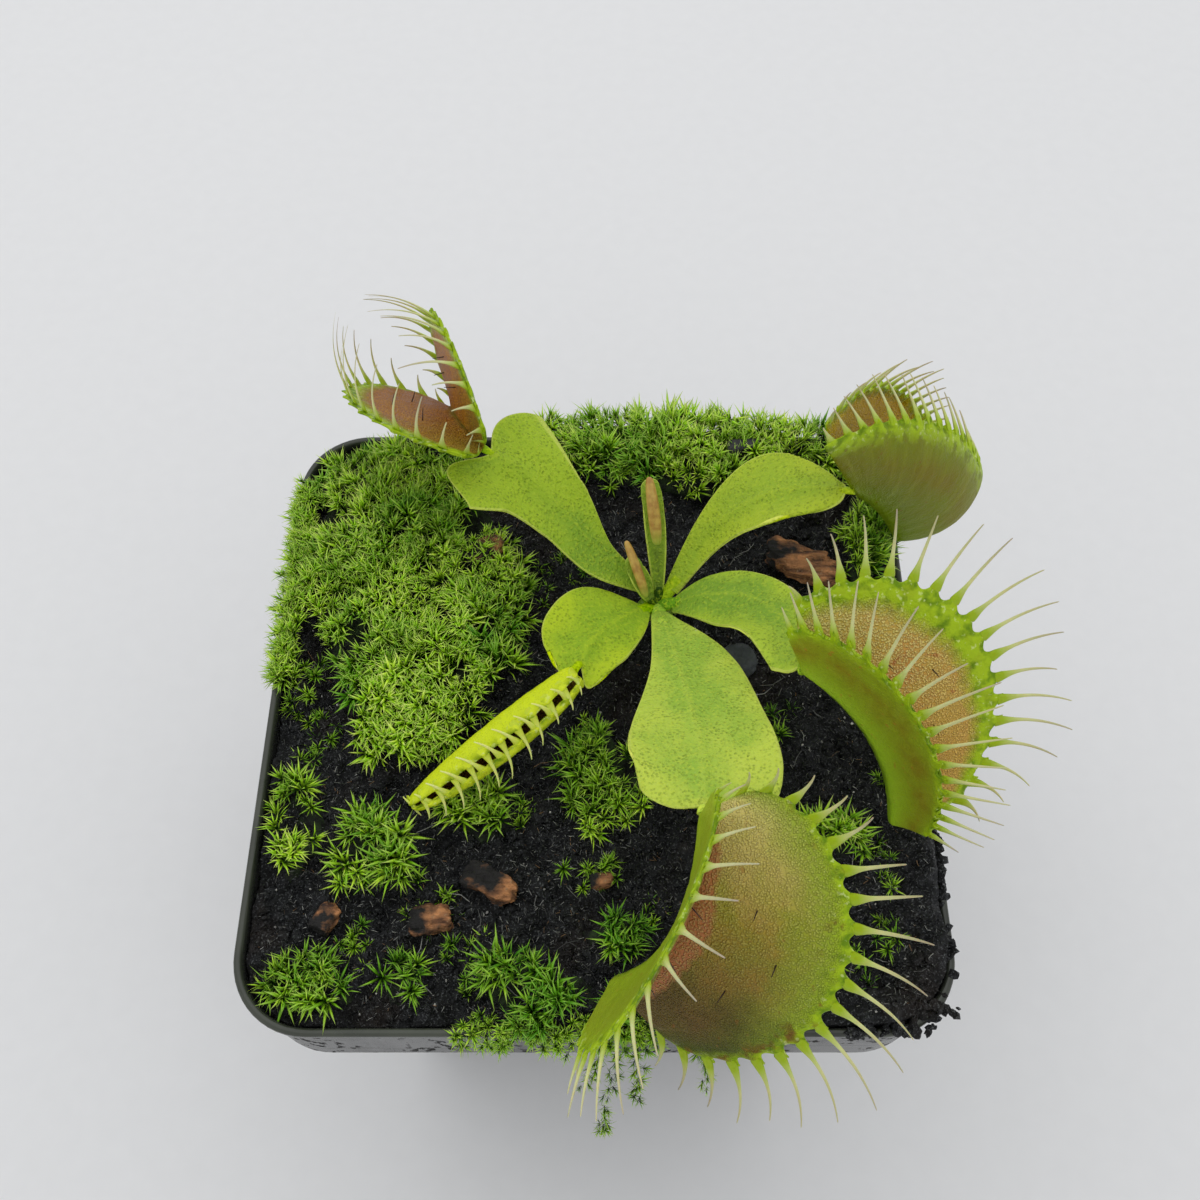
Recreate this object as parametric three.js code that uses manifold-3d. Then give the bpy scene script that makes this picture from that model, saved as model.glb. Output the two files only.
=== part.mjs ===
// A Venus flytrap growing in a square nursery pot, with moss, bark and peat. Millimetres, +Z up.
// The origin is the middle of the pot's base. +Y points to the back of the pot, +X to its right.
import * as THREE from 'three';
import { mergeVertices } from 'three/addons/utils/BufferGeometryUtils.js';
import Module from 'manifold-3d';

const wasm = await Module();
wasm.setup();

// ---------------------------------------------------------------- driving dimensions
const POT_SIDE = 90;            // outside width over the rim
const POT_HEIGHT = 80;
const POT_CORNER = 10;          // outside corner radius at the rim
const SKIRT_HEIGHT = 15.5;      // the upright band under the rim
const SKIRT_STEP = 2;           // how far the body stands in behind the skirt
const FOOT_SIDE = 66;           // outside width at the foot
const FOOT_CORNER = 7;
const WALL = 1.1;
const FLOOR = 1.6;
const SLOT_WIDTH = 3.4;         // drain slots in the base
const GAP = 0.3;                // clearance kept between touching pieces
const CROWN = [8.8, 13.6];      // where the leaves spring from, seen from above
const CROWN_TOP = 82.2;         // top of the rhizome
const BLADE = 0.85;             // thickness of a petiole's wings
const LOBE = 0.9;               // thickness of a trap's lobes
const MERGE = 1e-3;             // vertices closer than this are one

const COLOURS = {
  plastic: [0x17181a, 0.42], peat: [0x1c1713, 0.95], rhizome: [0xd8d2b0, 0.7],
  petiole: [0x93b53a, 0.42], trap: [0x9aa548, 0.45], youngTrap: [0xb2cb3a, 0.42],
  bud: [0xb08d5c, 0.6], moss: [0x5c9a24, 0.85], bark: [0x7a452b, 0.85],
  charcoal: [0x202022, 0.6], stone: [0x6f7174, 0.75],
};

// ---------------------------------------------------------------- small helpers
const radians = (degrees) => degrees * Math.PI / 180;
const clamp = (x, low, high) => Math.min(high, Math.max(low, x));
const smooth = (x) => { const t = clamp(x, 0, 1); return t * t * (3 - 2 * t); };
const vec = (point) => new THREE.Vector3(...point);

function seededRandom(seed) {
  let state = seed;
  return () => {
    state = (state * 1664525 + 1013904223) % 4294967296;
    return state / 4294967296;
  };
}

// A Catmull-Rom value through evenly spaced numbers, with straight runs past both ends.
function through(values, u) {
  const last = values.length - 1;
  const at = clamp(u, 0, 1) * last;
  const i = Math.min(Math.floor(at), last - 1);
  const f = at - i;
  const b = values[i];
  const c = values[i + 1];
  const a = i > 0 ? values[i - 1] : 2 * b - c;
  const d = i + 2 <= last ? values[i + 2] : 2 * c - b;
  return 0.5 * (2 * b + (c - a) * f + (2 * a - 5 * b + 4 * c - d) * f * f
    + (3 * b - a - 3 * c + d) * f * f * f);
}

// ---------------------------------------------------------------- meshes and solids
function geometryOf(points, faces) {
  const geometry = new THREE.BufferGeometry();
  geometry.setAttribute('position', new THREE.Float32BufferAttribute(points.flat(), 3));
  geometry.setIndex(faces.flat());
  return geometry;
}

function solidOf(geometry) {
  const bare = geometry.clone();
  bare.deleteAttribute('normal');
  bare.deleteAttribute('uv');
  const merged = mergeVertices(bare, MERGE);
  const corners = Array.from(merged.index.array);
  const triangles = [];
  for (let i = 0; i < corners.length; i += 3) {
    const [a, b, c] = corners.slice(i, i + 3);
    if (a !== b && b !== c && c !== a) triangles.push(a, b, c);
  }
  return new wasm.Manifold(new wasm.Mesh({
    numProp: 3,
    vertProperties: new Float32Array(merged.attributes.position.array),
    triVerts: new Uint32Array(triangles),
  }));
}

// The largest connected body of a solid: crumbs that a cut leaves loose are dropped.
function largest(solid) {
  return solid.decompose().sort((a, b) => b.volume() - a.volume())[0];
}

function geometryFrom(solid) {
  const mesh = solid.getMesh();
  const geometry = new THREE.BufferGeometry();
  geometry.setAttribute('position', new THREE.BufferAttribute(new Float32Array(mesh.vertProperties), 3));
  geometry.setIndex(Array.from(mesh.triVerts));
  geometry.computeVertexNormals();
  return geometry;
}

const plant = new THREE.Group();
function addPiece(name, solid, [colour, roughness]) {
  const material = new THREE.MeshStandardMaterial({ color: colour, roughness, metalness: 0 });
  const mesh = new THREE.Mesh(geometryFrom(solid), material);
  mesh.name = name;
  plant.add(mesh);
}

// A closed skin over rings of equally many points, with a point closing each end.
function ringsSolid(rings, firstPole, lastPole) {
  const count = rings[0].length;
  const points = [firstPole, ...rings.flat(), lastPole];
  const faces = [];
  for (let j = 0; j < count; j += 1) {
    const next = (j + 1) % count;
    faces.push([0, 1 + next, 1 + j]);
    for (let i = 0; i + 1 < rings.length; i += 1) {
      const row = 1 + i * count;
      faces.push([row + j, row + next, row + count + next]);
      faces.push([row + j, row + count + next, row + count + j]);
    }
    const top = 1 + (rings.length - 1) * count;
    faces.push([top + j, top + next, points.length - 1]);
  }
  const body = solidOf(geometryOf(points, faces));
  return body.volume() > 0 ? body : solidOf(geometryOf(points, faces.map((face) => [...face].reverse())));
}

// A thin sheet: mid(i, j) gives the middle surface's grid points and half(i, j) half its thickness.
function sheetSolid(rows, columns, mid, half) {
  const grid = [];
  for (let i = 0; i <= rows; i += 1) {
    grid.push([]);
    for (let j = 0; j <= columns; j += 1) grid[i].push(mid(i, j));
  }
  const at = (i, j) => grid[clamp(i, 0, rows)][clamp(j, 0, columns)];
  const front = [];
  const back = [];
  for (let i = 0; i <= rows; i += 1) {
    for (let j = 0; j <= columns; j += 1) {
      const along = at(i + 1, j).clone().sub(at(i - 1, j));
      const across = at(i, j + 1).clone().sub(at(i, j - 1));
      const normal = along.cross(across).normalize().multiplyScalar(half(i, j));
      front.push(grid[i][j].clone().add(normal).toArray());
      back.push(grid[i][j].clone().sub(normal).toArray());
    }
  }
  const width = columns + 1;
  const total = front.length;
  const faces = [];
  for (let i = 0; i < rows; i += 1) {
    for (let j = 0; j < columns; j += 1) {
      const a = i * width + j;
      const [b, c, d] = [a + width, a + width + 1, a + 1];
      faces.push([a, b, c], [a, c, d]);
      faces.push([total + a, total + c, total + b], [total + a, total + d, total + c]);
    }
  }
  const rim = [];
  for (let i = 0; i < rows; i += 1) rim.push(i * width);
  for (let j = 0; j < columns; j += 1) rim.push(rows * width + j);
  for (let i = rows; i > 0; i -= 1) rim.push(i * width + columns);
  for (let j = columns; j > 0; j -= 1) rim.push(j);
  rim.forEach((a, k) => {
    const b = rim[(k + 1) % rim.length];
    faces.push([a, total + a, total + b], [a, total + b, b]);
  });
  return solidOf(geometryOf([...front, ...back], faces));
}

// ---------------------------------------------------------------- pot
const CORNER_STEPS = 5;
function squareRing(side, corner, z) {
  const ring = [];
  const inset = side / 2 - corner;
  [[1, 1], [-1, 1], [-1, -1], [1, -1]].forEach(([sx, sy], quarter) => {
    for (let step = 0; step < CORNER_STEPS; step += 1) {
      const angle = (quarter + step / (CORNER_STEPS - 1)) * Math.PI / 2;
      ring.push([sx * inset + corner * Math.cos(angle), sy * inset + corner * Math.sin(angle), z]);
    }
  });
  return ring;
}

const SKIRT_BOTTOM = POT_HEIGHT - SKIRT_HEIGHT;
const BODY_TOP_SIDE = POT_SIDE - 2 * SKIRT_STEP - 0.6;
const LIP = 0.5;                // how much thicker the rim's rolled lip is
const LIP_HEIGHT = 1.6;

function potOuter(grow) {
  return [
    squareRing(FOOT_SIDE + 2 * grow, FOOT_CORNER, 0),
    squareRing(BODY_TOP_SIDE + 2 * grow, POT_CORNER - SKIRT_STEP, SKIRT_BOTTOM),
    squareRing(POT_SIDE - 1.2 + 2 * grow, POT_CORNER, SKIRT_BOTTOM + 0.05),
    squareRing(POT_SIDE - 0.8 + 2 * grow, POT_CORNER, POT_HEIGHT - LIP_HEIGHT),
    squareRing(POT_SIDE + 2 * grow, POT_CORNER, POT_HEIGHT - LIP_HEIGHT + 0.3),
    squareRing(POT_SIDE + 2 * grow, POT_CORNER, POT_HEIGHT - 0.4),
    squareRing(POT_SIDE - 0.8 + 2 * grow, POT_CORNER, POT_HEIGHT),
  ];
}

function potInner(shrink) {
  const thick = 2 * (WALL + shrink);
  return [
    squareRing(POT_SIDE - 2 * (WALL + LIP + shrink), POT_CORNER - WALL, POT_HEIGHT),
    squareRing(POT_SIDE - 1.2 - thick, POT_CORNER - WALL, POT_HEIGHT - 2 * LIP_HEIGHT),
    squareRing(POT_SIDE - 1.8 - thick, POT_CORNER - WALL, SKIRT_BOTTOM + 2),
    squareRing(BODY_TOP_SIDE - thick, POT_CORNER - SKIRT_STEP - WALL, SKIRT_BOTTOM - 1),
    squareRing(FOOT_SIDE - thick, FOOT_CORNER - WALL, FLOOR + shrink),
  ];
}

function buildPot(grow) {
  const rings = [...potOuter(grow), ...potInner(grow)];
  return ringsSolid(rings, [0, 0, 0], [0, 0, FLOOR + grow]);
}

function drainSlots() {
  const slots = [];
  for (let k = 0; k < 8; k += 1) {
    const slot = new THREE.BoxGeometry(11, SLOT_WIDTH, 6 * FLOOR);
    slot.translate(21, 0, 0);
    slot.rotateZ(radians(22.5 + 45 * k));
    slots.push(solidOf(slot));
  }
  return slots;
}

const pot = drainSlots().reduce((body, slot) => body.subtract(slot), buildPot(0));
addPiece('pot', pot, COLOURS.plastic);

// ---------------------------------------------------------------- growing mix
// Height of the peat: a plane that climbs to the right, two mounds, and lumps.
function peatHeight(x, y) {
  const slope = 77.6 + 0.028 * x - 0.004 * y;
  const crownMound = 2.6 * Math.exp(-((x - CROWN[0]) ** 2 + (y - CROWN[1]) ** 2) / 90);
  const rightMound = 1.8 * Math.exp(-((x - 37) ** 2 + (y + 24) ** 2) / 180);
  const lumps = 0.5 * Math.sin(0.45 * x + 1.3) * Math.sin(0.5 * y)
    + 0.35 * Math.sin(0.9 * x - 0.7 * y + 2);
  return slope + crownMound + rightMound + lumps;
}

function peatBody(raise, clearance) {
  const walls = potInner(clearance).reverse().slice(0, 4);
  const brim = walls[3];
  const shares = [1, 0.9, 0.8, 0.7, 0.58, 0.46, 0.34, 0.2];
  const surface = shares.map((share) => brim.map(([x, y]) => (
    [share * x, share * y, peatHeight(share * x, share * y) + raise])));
  const rings = [...walls.slice(0, 3), ...surface];
  return ringsSolid(rings, [0, 0, FLOOR + clearance], [0, 0, peatHeight(0, 0) + raise]);
}

// ---------------------------------------------------------------- rhizome and roots
const RHIZOME_RADIUS = 3.4;
const RHIZOME_DEPTH = 13;
const ROOT_SIDES = 6;

function taperedRod(from, to, radiusFrom, radiusTo, sides) {
  const axis = vec(to).sub(vec(from));
  const rod = new THREE.CylinderGeometry(radiusTo, radiusFrom, axis.length(), sides);
  rod.translate(0, axis.length() / 2, 0);
  const turn = new THREE.Quaternion().setFromUnitVectors(new THREE.Vector3(0, 1, 0), axis.normalize());
  rod.applyQuaternion(turn);
  rod.translate(...from);
  return solidOf(rod);
}

function rhizomeSolid(grow) {
  const [x, y] = CROWN;
  const profile = [[0, -RHIZOME_DEPTH - grow], [1.6 + grow, -RHIZOME_DEPTH - grow],
    [RHIZOME_RADIUS + grow, -7], [RHIZOME_RADIUS + grow, -3], [2.3 + grow, -0.5],
    [1.6 + grow, grow], [0, grow]];
  const corm = new THREE.LatheGeometry(profile.map(([r, z]) => new THREE.Vector2(r, z)), 12);
  corm.rotateX(Math.PI / 2);
  corm.translate(x, y, CROWN_TOP);
  let body = solidOf(corm);
  for (let k = 0; k < 5; k += 1) {
    const angle = radians(30 + 72 * k);
    const start = [x + Math.cos(angle), y + Math.sin(angle), CROWN_TOP - RHIZOME_DEPTH + 2];
    const end = [x + 9 * Math.cos(angle), y + 9 * Math.sin(angle), CROWN_TOP - 52 - 3 * (k % 3)];
    body = body.add(taperedRod(start, end, 0.9 + grow, 0.5 + grow, ROOT_SIDES));
  }
  return body;
}

// The rhizome stands in a plain hole that is open at the top of the peat.
const rhizomeHole = rhizomeSolid(GAP).add(taperedRod(
  [...CROWN, CROWN_TOP - 5], [...CROWN, CROWN_TOP + 5], RHIZOME_RADIUS + GAP, RHIZOME_RADIUS + GAP, 12));
addPiece('growing_mix', largest(peatBody(0, GAP).subtract(rhizomeHole)), COLOURS.peat);
addPiece('rhizome', rhizomeSolid(0), COLOURS.rhizome);

// ---------------------------------------------------------------- petioles
// spine: points from the crown to the trap's neck. left and right: half widths along it, seen from
// the crown. shoulder: how far each half of the blade reaches past the neck. corner: how far its outer
// corner draws back from there. cup: how far its edges rise.
const PETIOLES = {
  back_left: {
    spine: [[7.2, 15.6, 83.4], [1.5, 18.3, 87], [-4, 22.5, 91.5], [-9, 26.5, 95.5], [-14.3, 28.2, 98.3]],
    left: [1.1, 3.6, 4.7, 7.1, 9.1], right: [1.1, 1.8, 4.5, 5.4, 9.7],
    shoulder: [4.3, 1.1], corner: [0.6, 4.9], cup: 0.8, wave: 0.4,
  },
  back_right: {
    spine: [[10.9, 15.2, 83.4], [14.5, 18, 88], [19.5, 23, 93], [25, 24.5, 97], [33.4, 21, 99.9]],
    left: [1.1, 2.1, 3.6, 5.3, 1.6], right: [1.1, 1.7, 4.5, 5.6, 5.2],
    shoulder: [0, 0], corner: [0.7, 6.2], cup: 0.8, wave: 0.4,
  },
  right: {
    spine: [[11.3, 12.7, 83.6], [15.5, 11.5, 88], [20.5, 9.3, 91.5], [24.4, 3.8, 95.3], [25.4, -5.2, 99.7]],
    left: [1.3, 4.4, 5.0, 4.0, 2.5], right: [1.3, 3.7, 6.4, 6.2, 3.5],
    shoulder: [0, 0.5], corner: [3, 1], cup: 0.8, wave: 0.8,
  },
  front: {
    spine: [[9.1, 11.0, 83.8], [10.7, -1, 92], [12, -12, 99], [12.4, -19.5, 103.2], [12.1, -25.2, 105.4]],
    left: [1.2, 6.6, 8.3, 8.7, 8.9], right: [1.2, 4.1, 7.7, 8.7, 8.3],
    shoulder: [0.5, 0.7], corner: [4.4, 8.2], cup: 0.6, wave: 0.4,
  },
  left: {
    spine: [[6.8, 11.9, 83.5], [4.2, 9.2, 86], [1, 6, 88], [-1, 2.8, 89.3], [-1.9, 0.1, 89.8]],
    left: [1.2, 4.0, 5.8, 6.5, 4.4], right: [1.2, 7.6, 7.8, 7.3, 7.5],
    shoulder: [3.5, 0.9], corner: [0.6, 4.7], cup: 0.8, wave: 0.3,
  },
  young_tall: {
    spine: [[9.0, 15.0, 83.6], [8.8, 17, 86.2], [8.5, 19.2, 89.6], [8.0, 22, 93.8], [7.4, 24.4, 97.6]],
    left: [0.7, 1.2, 1.6, 1.7, 1.4], right: [0.7, 1.2, 1.6, 1.7, 1.4],
    shoulder: [0, 0], corner: [1.6, 1.6], cup: 0.8, wave: 0,
  },
  young_short: {
    spine: [[7.8, 13.6, 83.6], [7.1, 14.4, 84.8], [6.3, 15.3, 86.1], [5.5, 16.3, 87.6], [4.8, 17.3, 89]],
    left: [0.7, 1.2, 1.4, 1.3, 1.0], right: [0.7, 1.2, 1.4, 1.3, 1.0],
    shoulder: [0, 0], corner: [1.2, 1.2], cup: 0.6, wave: 0,
  },
};
function spineAt(spine, u) {
  return new THREE.Vector3(...[0, 1, 2].map((axis) => through(spine.map((p) => p[axis]), u)));
}

const DROOP = 0.34;             // how much the blade bends down for each mm that it reaches past the neck

// t runs from -1 at the left edge to +1 at the right edge.
function petiolePoint(leaf, u, t) {
  const point = spineAt(leaf.spine, u);
  const along = spineAt(leaf.spine, Math.min(u + 0.01, 1)).sub(spineAt(leaf.spine, Math.max(u - 0.01, 0)));
  along.normalize();
  const side = along.clone().cross(new THREE.Vector3(0, 0, 1)).normalize();
  const normal = side.clone().cross(along);
  const [width, half, out] = [through(t < 0 ? leaf.left : leaf.right, u), t < 0 ? 0 : 1, Math.abs(t)];
  const drawnBack = leaf.corner[half] * (1 - Math.sqrt(1 - Math.min(out, 1) ** 3));
  const reach = smooth((u - 0.4) / 0.6) * (leaf.shoulder[half] * Math.sin(Math.PI * out) ** 1.5 - drawnBack);
  const rise = leaf.cup * Math.sin(Math.PI * clamp(u, 0, 1)) ** 0.7 * t * t
    + leaf.wave * Math.sin(2 * Math.PI * (1.5 * u + 0.15)) * out ** 3 * smooth(3 * u)
    - DROOP * Math.max(reach, 0);
  return point.addScaledVector(side, t * width).addScaledVector(along, reach).addScaledVector(normal, rise);
}

function petioleSolid(leaf, rows, columns) {
  const share = (i) => i / rows;
  return sheetSolid(rows, columns,
    (i, j) => petiolePoint(leaf, share(i), 2 * j / columns - 1),
    (i, j) => 0.5 * (BLADE + 0.7 * (1 - Math.abs(2 * j / columns - 1)) ** 2 * (1 - 0.5 * share(i))));
}

// ---------------------------------------------------------------- traps
// The midrib starts at neck and points along azimuth and elevation; roll turns the mouth about it.
// Each lobe (plus, minus) fans from -fan[0] to +fan[1] degrees, is reach long, and its section turns
// from open[0] degrees off the mouth's direction at the midrib to open[1] at the margin.
// teeth: count, lean towards the inside at both ends, sweep along the margin at both ends, lengths.
const TRAPS = {
  back_left: {
    neck: [-15.3, 28.7, 98.8], azimuth: 110, elevation: -35, roll: -31, midrib: 19.5, sag: -2,
    ends: [0.2, 0.15], fullness: 0.45, colour: 'trap',
    plus: { fan: [62, 56], reach: 16, open: [37, 28], teeth: [17, 49, 71, -15, -11, 2, 10.2, 2] },
    minus: { fan: [71, 61], reach: 17, open: [35, 26], teeth: [17, 61, 80, -2, -22, 2, 10.6, 2] },
  },
  back_right: {
    neck: [34.5, 20.5, 100.5], azimuth: 16, elevation: -59, roll: -34, midrib: 19, sag: -1,
    ends: [0.75, 1], fullness: 0.6, colour: 'trap',
    plus: { fan: [87, 7], reach: 17.5, open: [67, -35], teeth: [16, 12, 14, 5, -5, 1.9, 8.4, 1.6] },
    minus: { fan: [76, 8], reach: 19, open: [60, -27], teeth: [16, 25, 25, 5, -5, 1.9, 8.4, 1.6] },
  },
  right: {
    neck: [25.5, -6, 100], azimuth: -50, elevation: -37, roll: -34, midrib: 23.5, sag: -3.5,
    ends: [0.4, 0.4], fullness: 0.75, colour: 'trap',
    plus: { fan: [77, 8], reach: 15, open: [23, 40], teeth: [19, 21, 32, -27, 40, 1.8, 9.4, 4.5] },
    minus: { fan: [68, 10], reach: 20.5, open: [29, 32], teeth: [18, 17, 50, -30, 35, 1.9, 10.2, 3.7] },
  },
  front: {
    neck: [12, -26, 105.5], azimuth: -124, elevation: -41, roll: -47, midrib: 23.5, sag: -5.5,
    ends: [0.2, 0.35], fullness: 0.45, colour: 'trap',
    plus: { fan: [50, 15], reach: 19.5, open: [40, 42], teeth: [18, 36, 19, -12, 17, 1, 10.4, 3.2] },
    minus: { fan: [59, 15], reach: 20, open: [37, 55], teeth: [19, 45, 67, -15, 11, 3, 10.6, 3.6] },
  },
  left: {
    neck: [-2.8, -1.2, 90.5], azimuth: -145, elevation: -18, roll: -46, midrib: 27, sag: 0.5,
    ends: [0.35, 0.1], fullness: 0.5, colour: 'youngTrap',
    plus: { fan: [8, 18], reach: 7.2, open: [75, -60], teeth: [12, 34, 34, 0, 10, 2.4, 4.6, 2.2] },
    minus: { fan: [8, 18], reach: 7.2, open: [75, -60], teeth: [11, 34, 34, 0, 10, 2, 3.6, 1.8] },
  },
};

function trapFrame(trap) {
  const [az, el, roll] = [trap.azimuth, trap.elevation, trap.roll].map(radians);
  const along = new THREE.Vector3(Math.cos(el) * Math.cos(az), Math.cos(el) * Math.sin(az), Math.sin(el));
  const level = new THREE.Vector3(-Math.sin(el) * Math.cos(az), -Math.sin(el) * Math.sin(az), Math.cos(el));
  const side = along.clone().cross(level);
  const mouth = level.multiplyScalar(Math.cos(roll)).addScaledVector(side, Math.sin(roll));
  return { along, mouth, across: along.clone().cross(mouth) };
}

// A point of the lobe on side +1 or -1: u runs along the midrib, v from the midrib to the margin.
function lobePoint(trap, side, u, v) {
  const lobe = side > 0 ? trap.plus : trap.minus;
  const { along, mouth, across } = trapFrame(trap);
  const point = vec(trap.neck).addScaledVector(along, trap.midrib * u)
    .addScaledVector(mouth, -trap.sag * 4 * u * (1 - u));
  const fan = radians(-lobe.fan[0] + (lobe.fan[0] + lobe.fan[1]) * u);
  const [atNeck, atTip] = trap.ends;
  const swell = Math.sin(Math.PI * clamp(u, 1e-9, 1 - 1e-9)) ** trap.fullness;
  const reach = lobe.reach * (atNeck * (1 - u) + atTip * u + (1 - 0.5 * (atNeck + atTip)) * swell);
  const [first, last] = lobe.open.map(radians);
  const turn = Math.abs(last - first) < 1e-3 ? 1e-3 : last - first;
  const now = first + turn * v;
  const towardMouth = (Math.sin(now) - Math.sin(first)) / turn;
  const outward = side * (Math.cos(first) - Math.cos(now)) / turn;
  return point.addScaledVector(mouth, reach * Math.cos(fan) * towardMouth)
    .addScaledVector(across, reach * Math.cos(fan) * outward)
    .addScaledVector(along, reach * Math.sin(fan) * v);
}

// One tooth is a three-sided spine on the margin: sunk root, bend, fine tip.
function toothSolid(trap, side, u, teeth) {
  const [, leanNeck, leanTip, sweepNeck, sweepTip, lengthNeck, lengthMiddle, lengthTip] = teeth;
  const step = 2e-3;
  const margin = lobePoint(trap, side, u, 1);
  const out = margin.clone().sub(lobePoint(trap, side, u, 1 - step)).normalize();
  const edge = lobePoint(trap, side, Math.min(u + step, 1), 1)
    .sub(lobePoint(trap, side, Math.max(u - step, 0), 1)).normalize();
  const inward = edge.clone().cross(out).multiplyScalar(-side).normalize();
  const lean = radians(leanNeck + (leanTip - leanNeck) * u);
  const sweep = Math.tan(radians(sweepNeck + (sweepTip - sweepNeck) * u));
  const aim = out.clone().multiplyScalar(Math.cos(lean)).addScaledVector(inward, Math.sin(lean))
    .addScaledVector(edge, sweep).normalize();
  const ends = lengthNeck + (lengthTip - lengthNeck) * u;
  const length = ends + (lengthMiddle - 0.5 * (lengthNeck + lengthTip)) * Math.sin(Math.PI * u);
  const root = margin.clone().addScaledVector(out, -0.8);
  const knee = margin.clone().addScaledVector(out.clone().add(aim).normalize(), 0.4 * length);
  const tip = margin.clone().addScaledVector(aim, length);
  const stations = [[0, 0.95, 0.42], [0.3, 0.42, 0.34], [0.65, 0.3, 0.26]];
  const rings = stations.map(([w, broad, thin]) => {
    const centre = root.clone().multiplyScalar((1 - w) ** 2).addScaledVector(knee, 2 * w * (1 - w))
      .addScaledVector(tip, w * w);
    return [0, 1, 2].map((k) => {
      const angle = side * radians(90 + 120 * k);
      return centre.clone().addScaledVector(inward, thin * Math.sin(angle))
        .addScaledVector(edge, broad * Math.cos(angle)).toArray();
    });
  });
  return ringsSolid(rings, root.toArray(), tip.toArray());
}

// Places evenly spaced along a margin, as values of u.
function evenAlongMargin(trap, side, count) {
  const fine = 120;
  const lengths = [0];
  for (let i = 1; i <= fine; i += 1) {
    const chord = lobePoint(trap, side, i / fine, 1).distanceTo(lobePoint(trap, side, (i - 1) / fine, 1));
    lengths.push(lengths[i - 1] + chord);
  }
  return Array.from({ length: count }, (_, k) => {
    const target = lengths[fine] * (0.03 + 0.94 * k / (count - 1));
    const i = lengths.findIndex((length) => length >= target);
    return (i - (lengths[i] - target) / (lengths[i] - lengths[i - 1])) / fine;
  });
}

const TRAP_ROWS = 14;
const TRAP_COLUMNS = 8;
function trapSolid(trap) {
  const sheet = sheetSolid(TRAP_ROWS, TRAP_COLUMNS, (i, j) => {
    const across = 2 * j / TRAP_COLUMNS - 1;
    const along = 0.5 * (1 - Math.cos(Math.PI * i / TRAP_ROWS));
    return lobePoint(trap, across < 0 ? -1 : 1, along, Math.abs(across));
  }, (i, j) => 0.5 * (LOBE + 0.5 * Math.max(0, 1 - 2.5 * Math.abs(2 * j / TRAP_COLUMNS - 1))));
  let body = sheet;
  [[1, trap.plus], [-1, trap.minus]].forEach(([side, lobe]) => {
    evenAlongMargin(trap, side, lobe.teeth[0]).forEach((u) => {
      body = body.add(toothSolid(trap, side, u, lobe.teeth));
    });
  });
  return largest(solidOf(geometryFrom(body)));
}

// An unopened bud trap is a slim rod, a little flattened, that tapers to both ends.
const BUDS = {
  young_tall: { from: [8.6, 17.6, 91.6], to: [7.3, 23.3, 99.6], radius: 0.8 },
  young_short: { from: [7.2, 12.6, 85.8], to: [4.3, 18.0, 92.0], radius: 0.72 },
};
function budSolid({ from, to, radius }) {
  const [start, end] = [vec(from), vec(to)];
  const along = end.clone().sub(start).normalize();
  const side = along.clone().cross(new THREE.Vector3(0, 0, 1)).normalize();
  const up = side.clone().cross(along);
  const stations = [[0.03, 0.55], [0.15, 0.95], [0.45, 1], [0.8, 0.95], [0.97, 0.6]];
  const rings = stations.map(([w, share]) => Array.from({ length: 8 }, (_, k) => {
    const angle = radians(45 * k);
    return start.clone().lerp(end, w).addScaledVector(side, share * radius * Math.cos(angle))
      .addScaledVector(up, 0.85 * share * radius * Math.sin(angle)).toArray();
  }));
  return ringsSolid(rings, from, to);
}

Object.entries(PETIOLES).forEach(([name, leaf]) => {
  const young = name.startsWith('young');
  const solid = young ? petioleSolid(leaf, 8, 4) : petioleSolid(leaf, 13, 6);
  addPiece(`leaf_${name}`, solid, COLOURS.petiole);
});
Object.entries(TRAPS).forEach(([name, trap]) => {
  addPiece(`trap_${name}`, trapSolid(trap), COLOURS[trap.colour]);
});
Object.entries(BUDS).forEach(([name, bud]) => {
  addPiece(`trap_${name}`, budSolid(bud), COLOURS.bud);
});

// ---------------------------------------------------------------- bark, charcoal and stone
// Each chip: centre, full sizes, turn in degrees, how high its middle stands over the peat.
const CHIPS = {
  bark_large: { at: [30.3, 21.4], size: [10.5, 4.8, 3], turn: -25, high: 2.2, colour: 'bark' },
  bark_back: { at: [-16.4, 22.4], size: [6, 3, 2.4], turn: 35, high: 5.2, colour: 'bark' },
  bark_middle: { at: [-13.8, -25.6], size: [7.4, 3.6, 2.8], turn: -28, high: 0.9, colour: 'bark' },
  bark_front: { at: [-20.9, -30.4], size: [4.6, 3.6, 2.6], turn: 15, high: 1, colour: 'bark' },
  bark_left: { at: [-34.3, -30.2], size: [4.2, 3, 2.4], turn: 60, high: 0.9, colour: 'bark' },
  bark_small: { at: [1, -25.4], size: [2.8, 2, 1.8], turn: 10, high: 0.6, colour: 'bark' },
  charcoal: { at: [22.3, 39.6], size: [4.6, 2.2, 1.8], turn: 8, high: 6.6, colour: 'charcoal' },
  stone: { at: [20, 5.6], size: [5, 4.4, 3.4], turn: 25, high: 1.2, colour: 'stone' },
};

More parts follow.
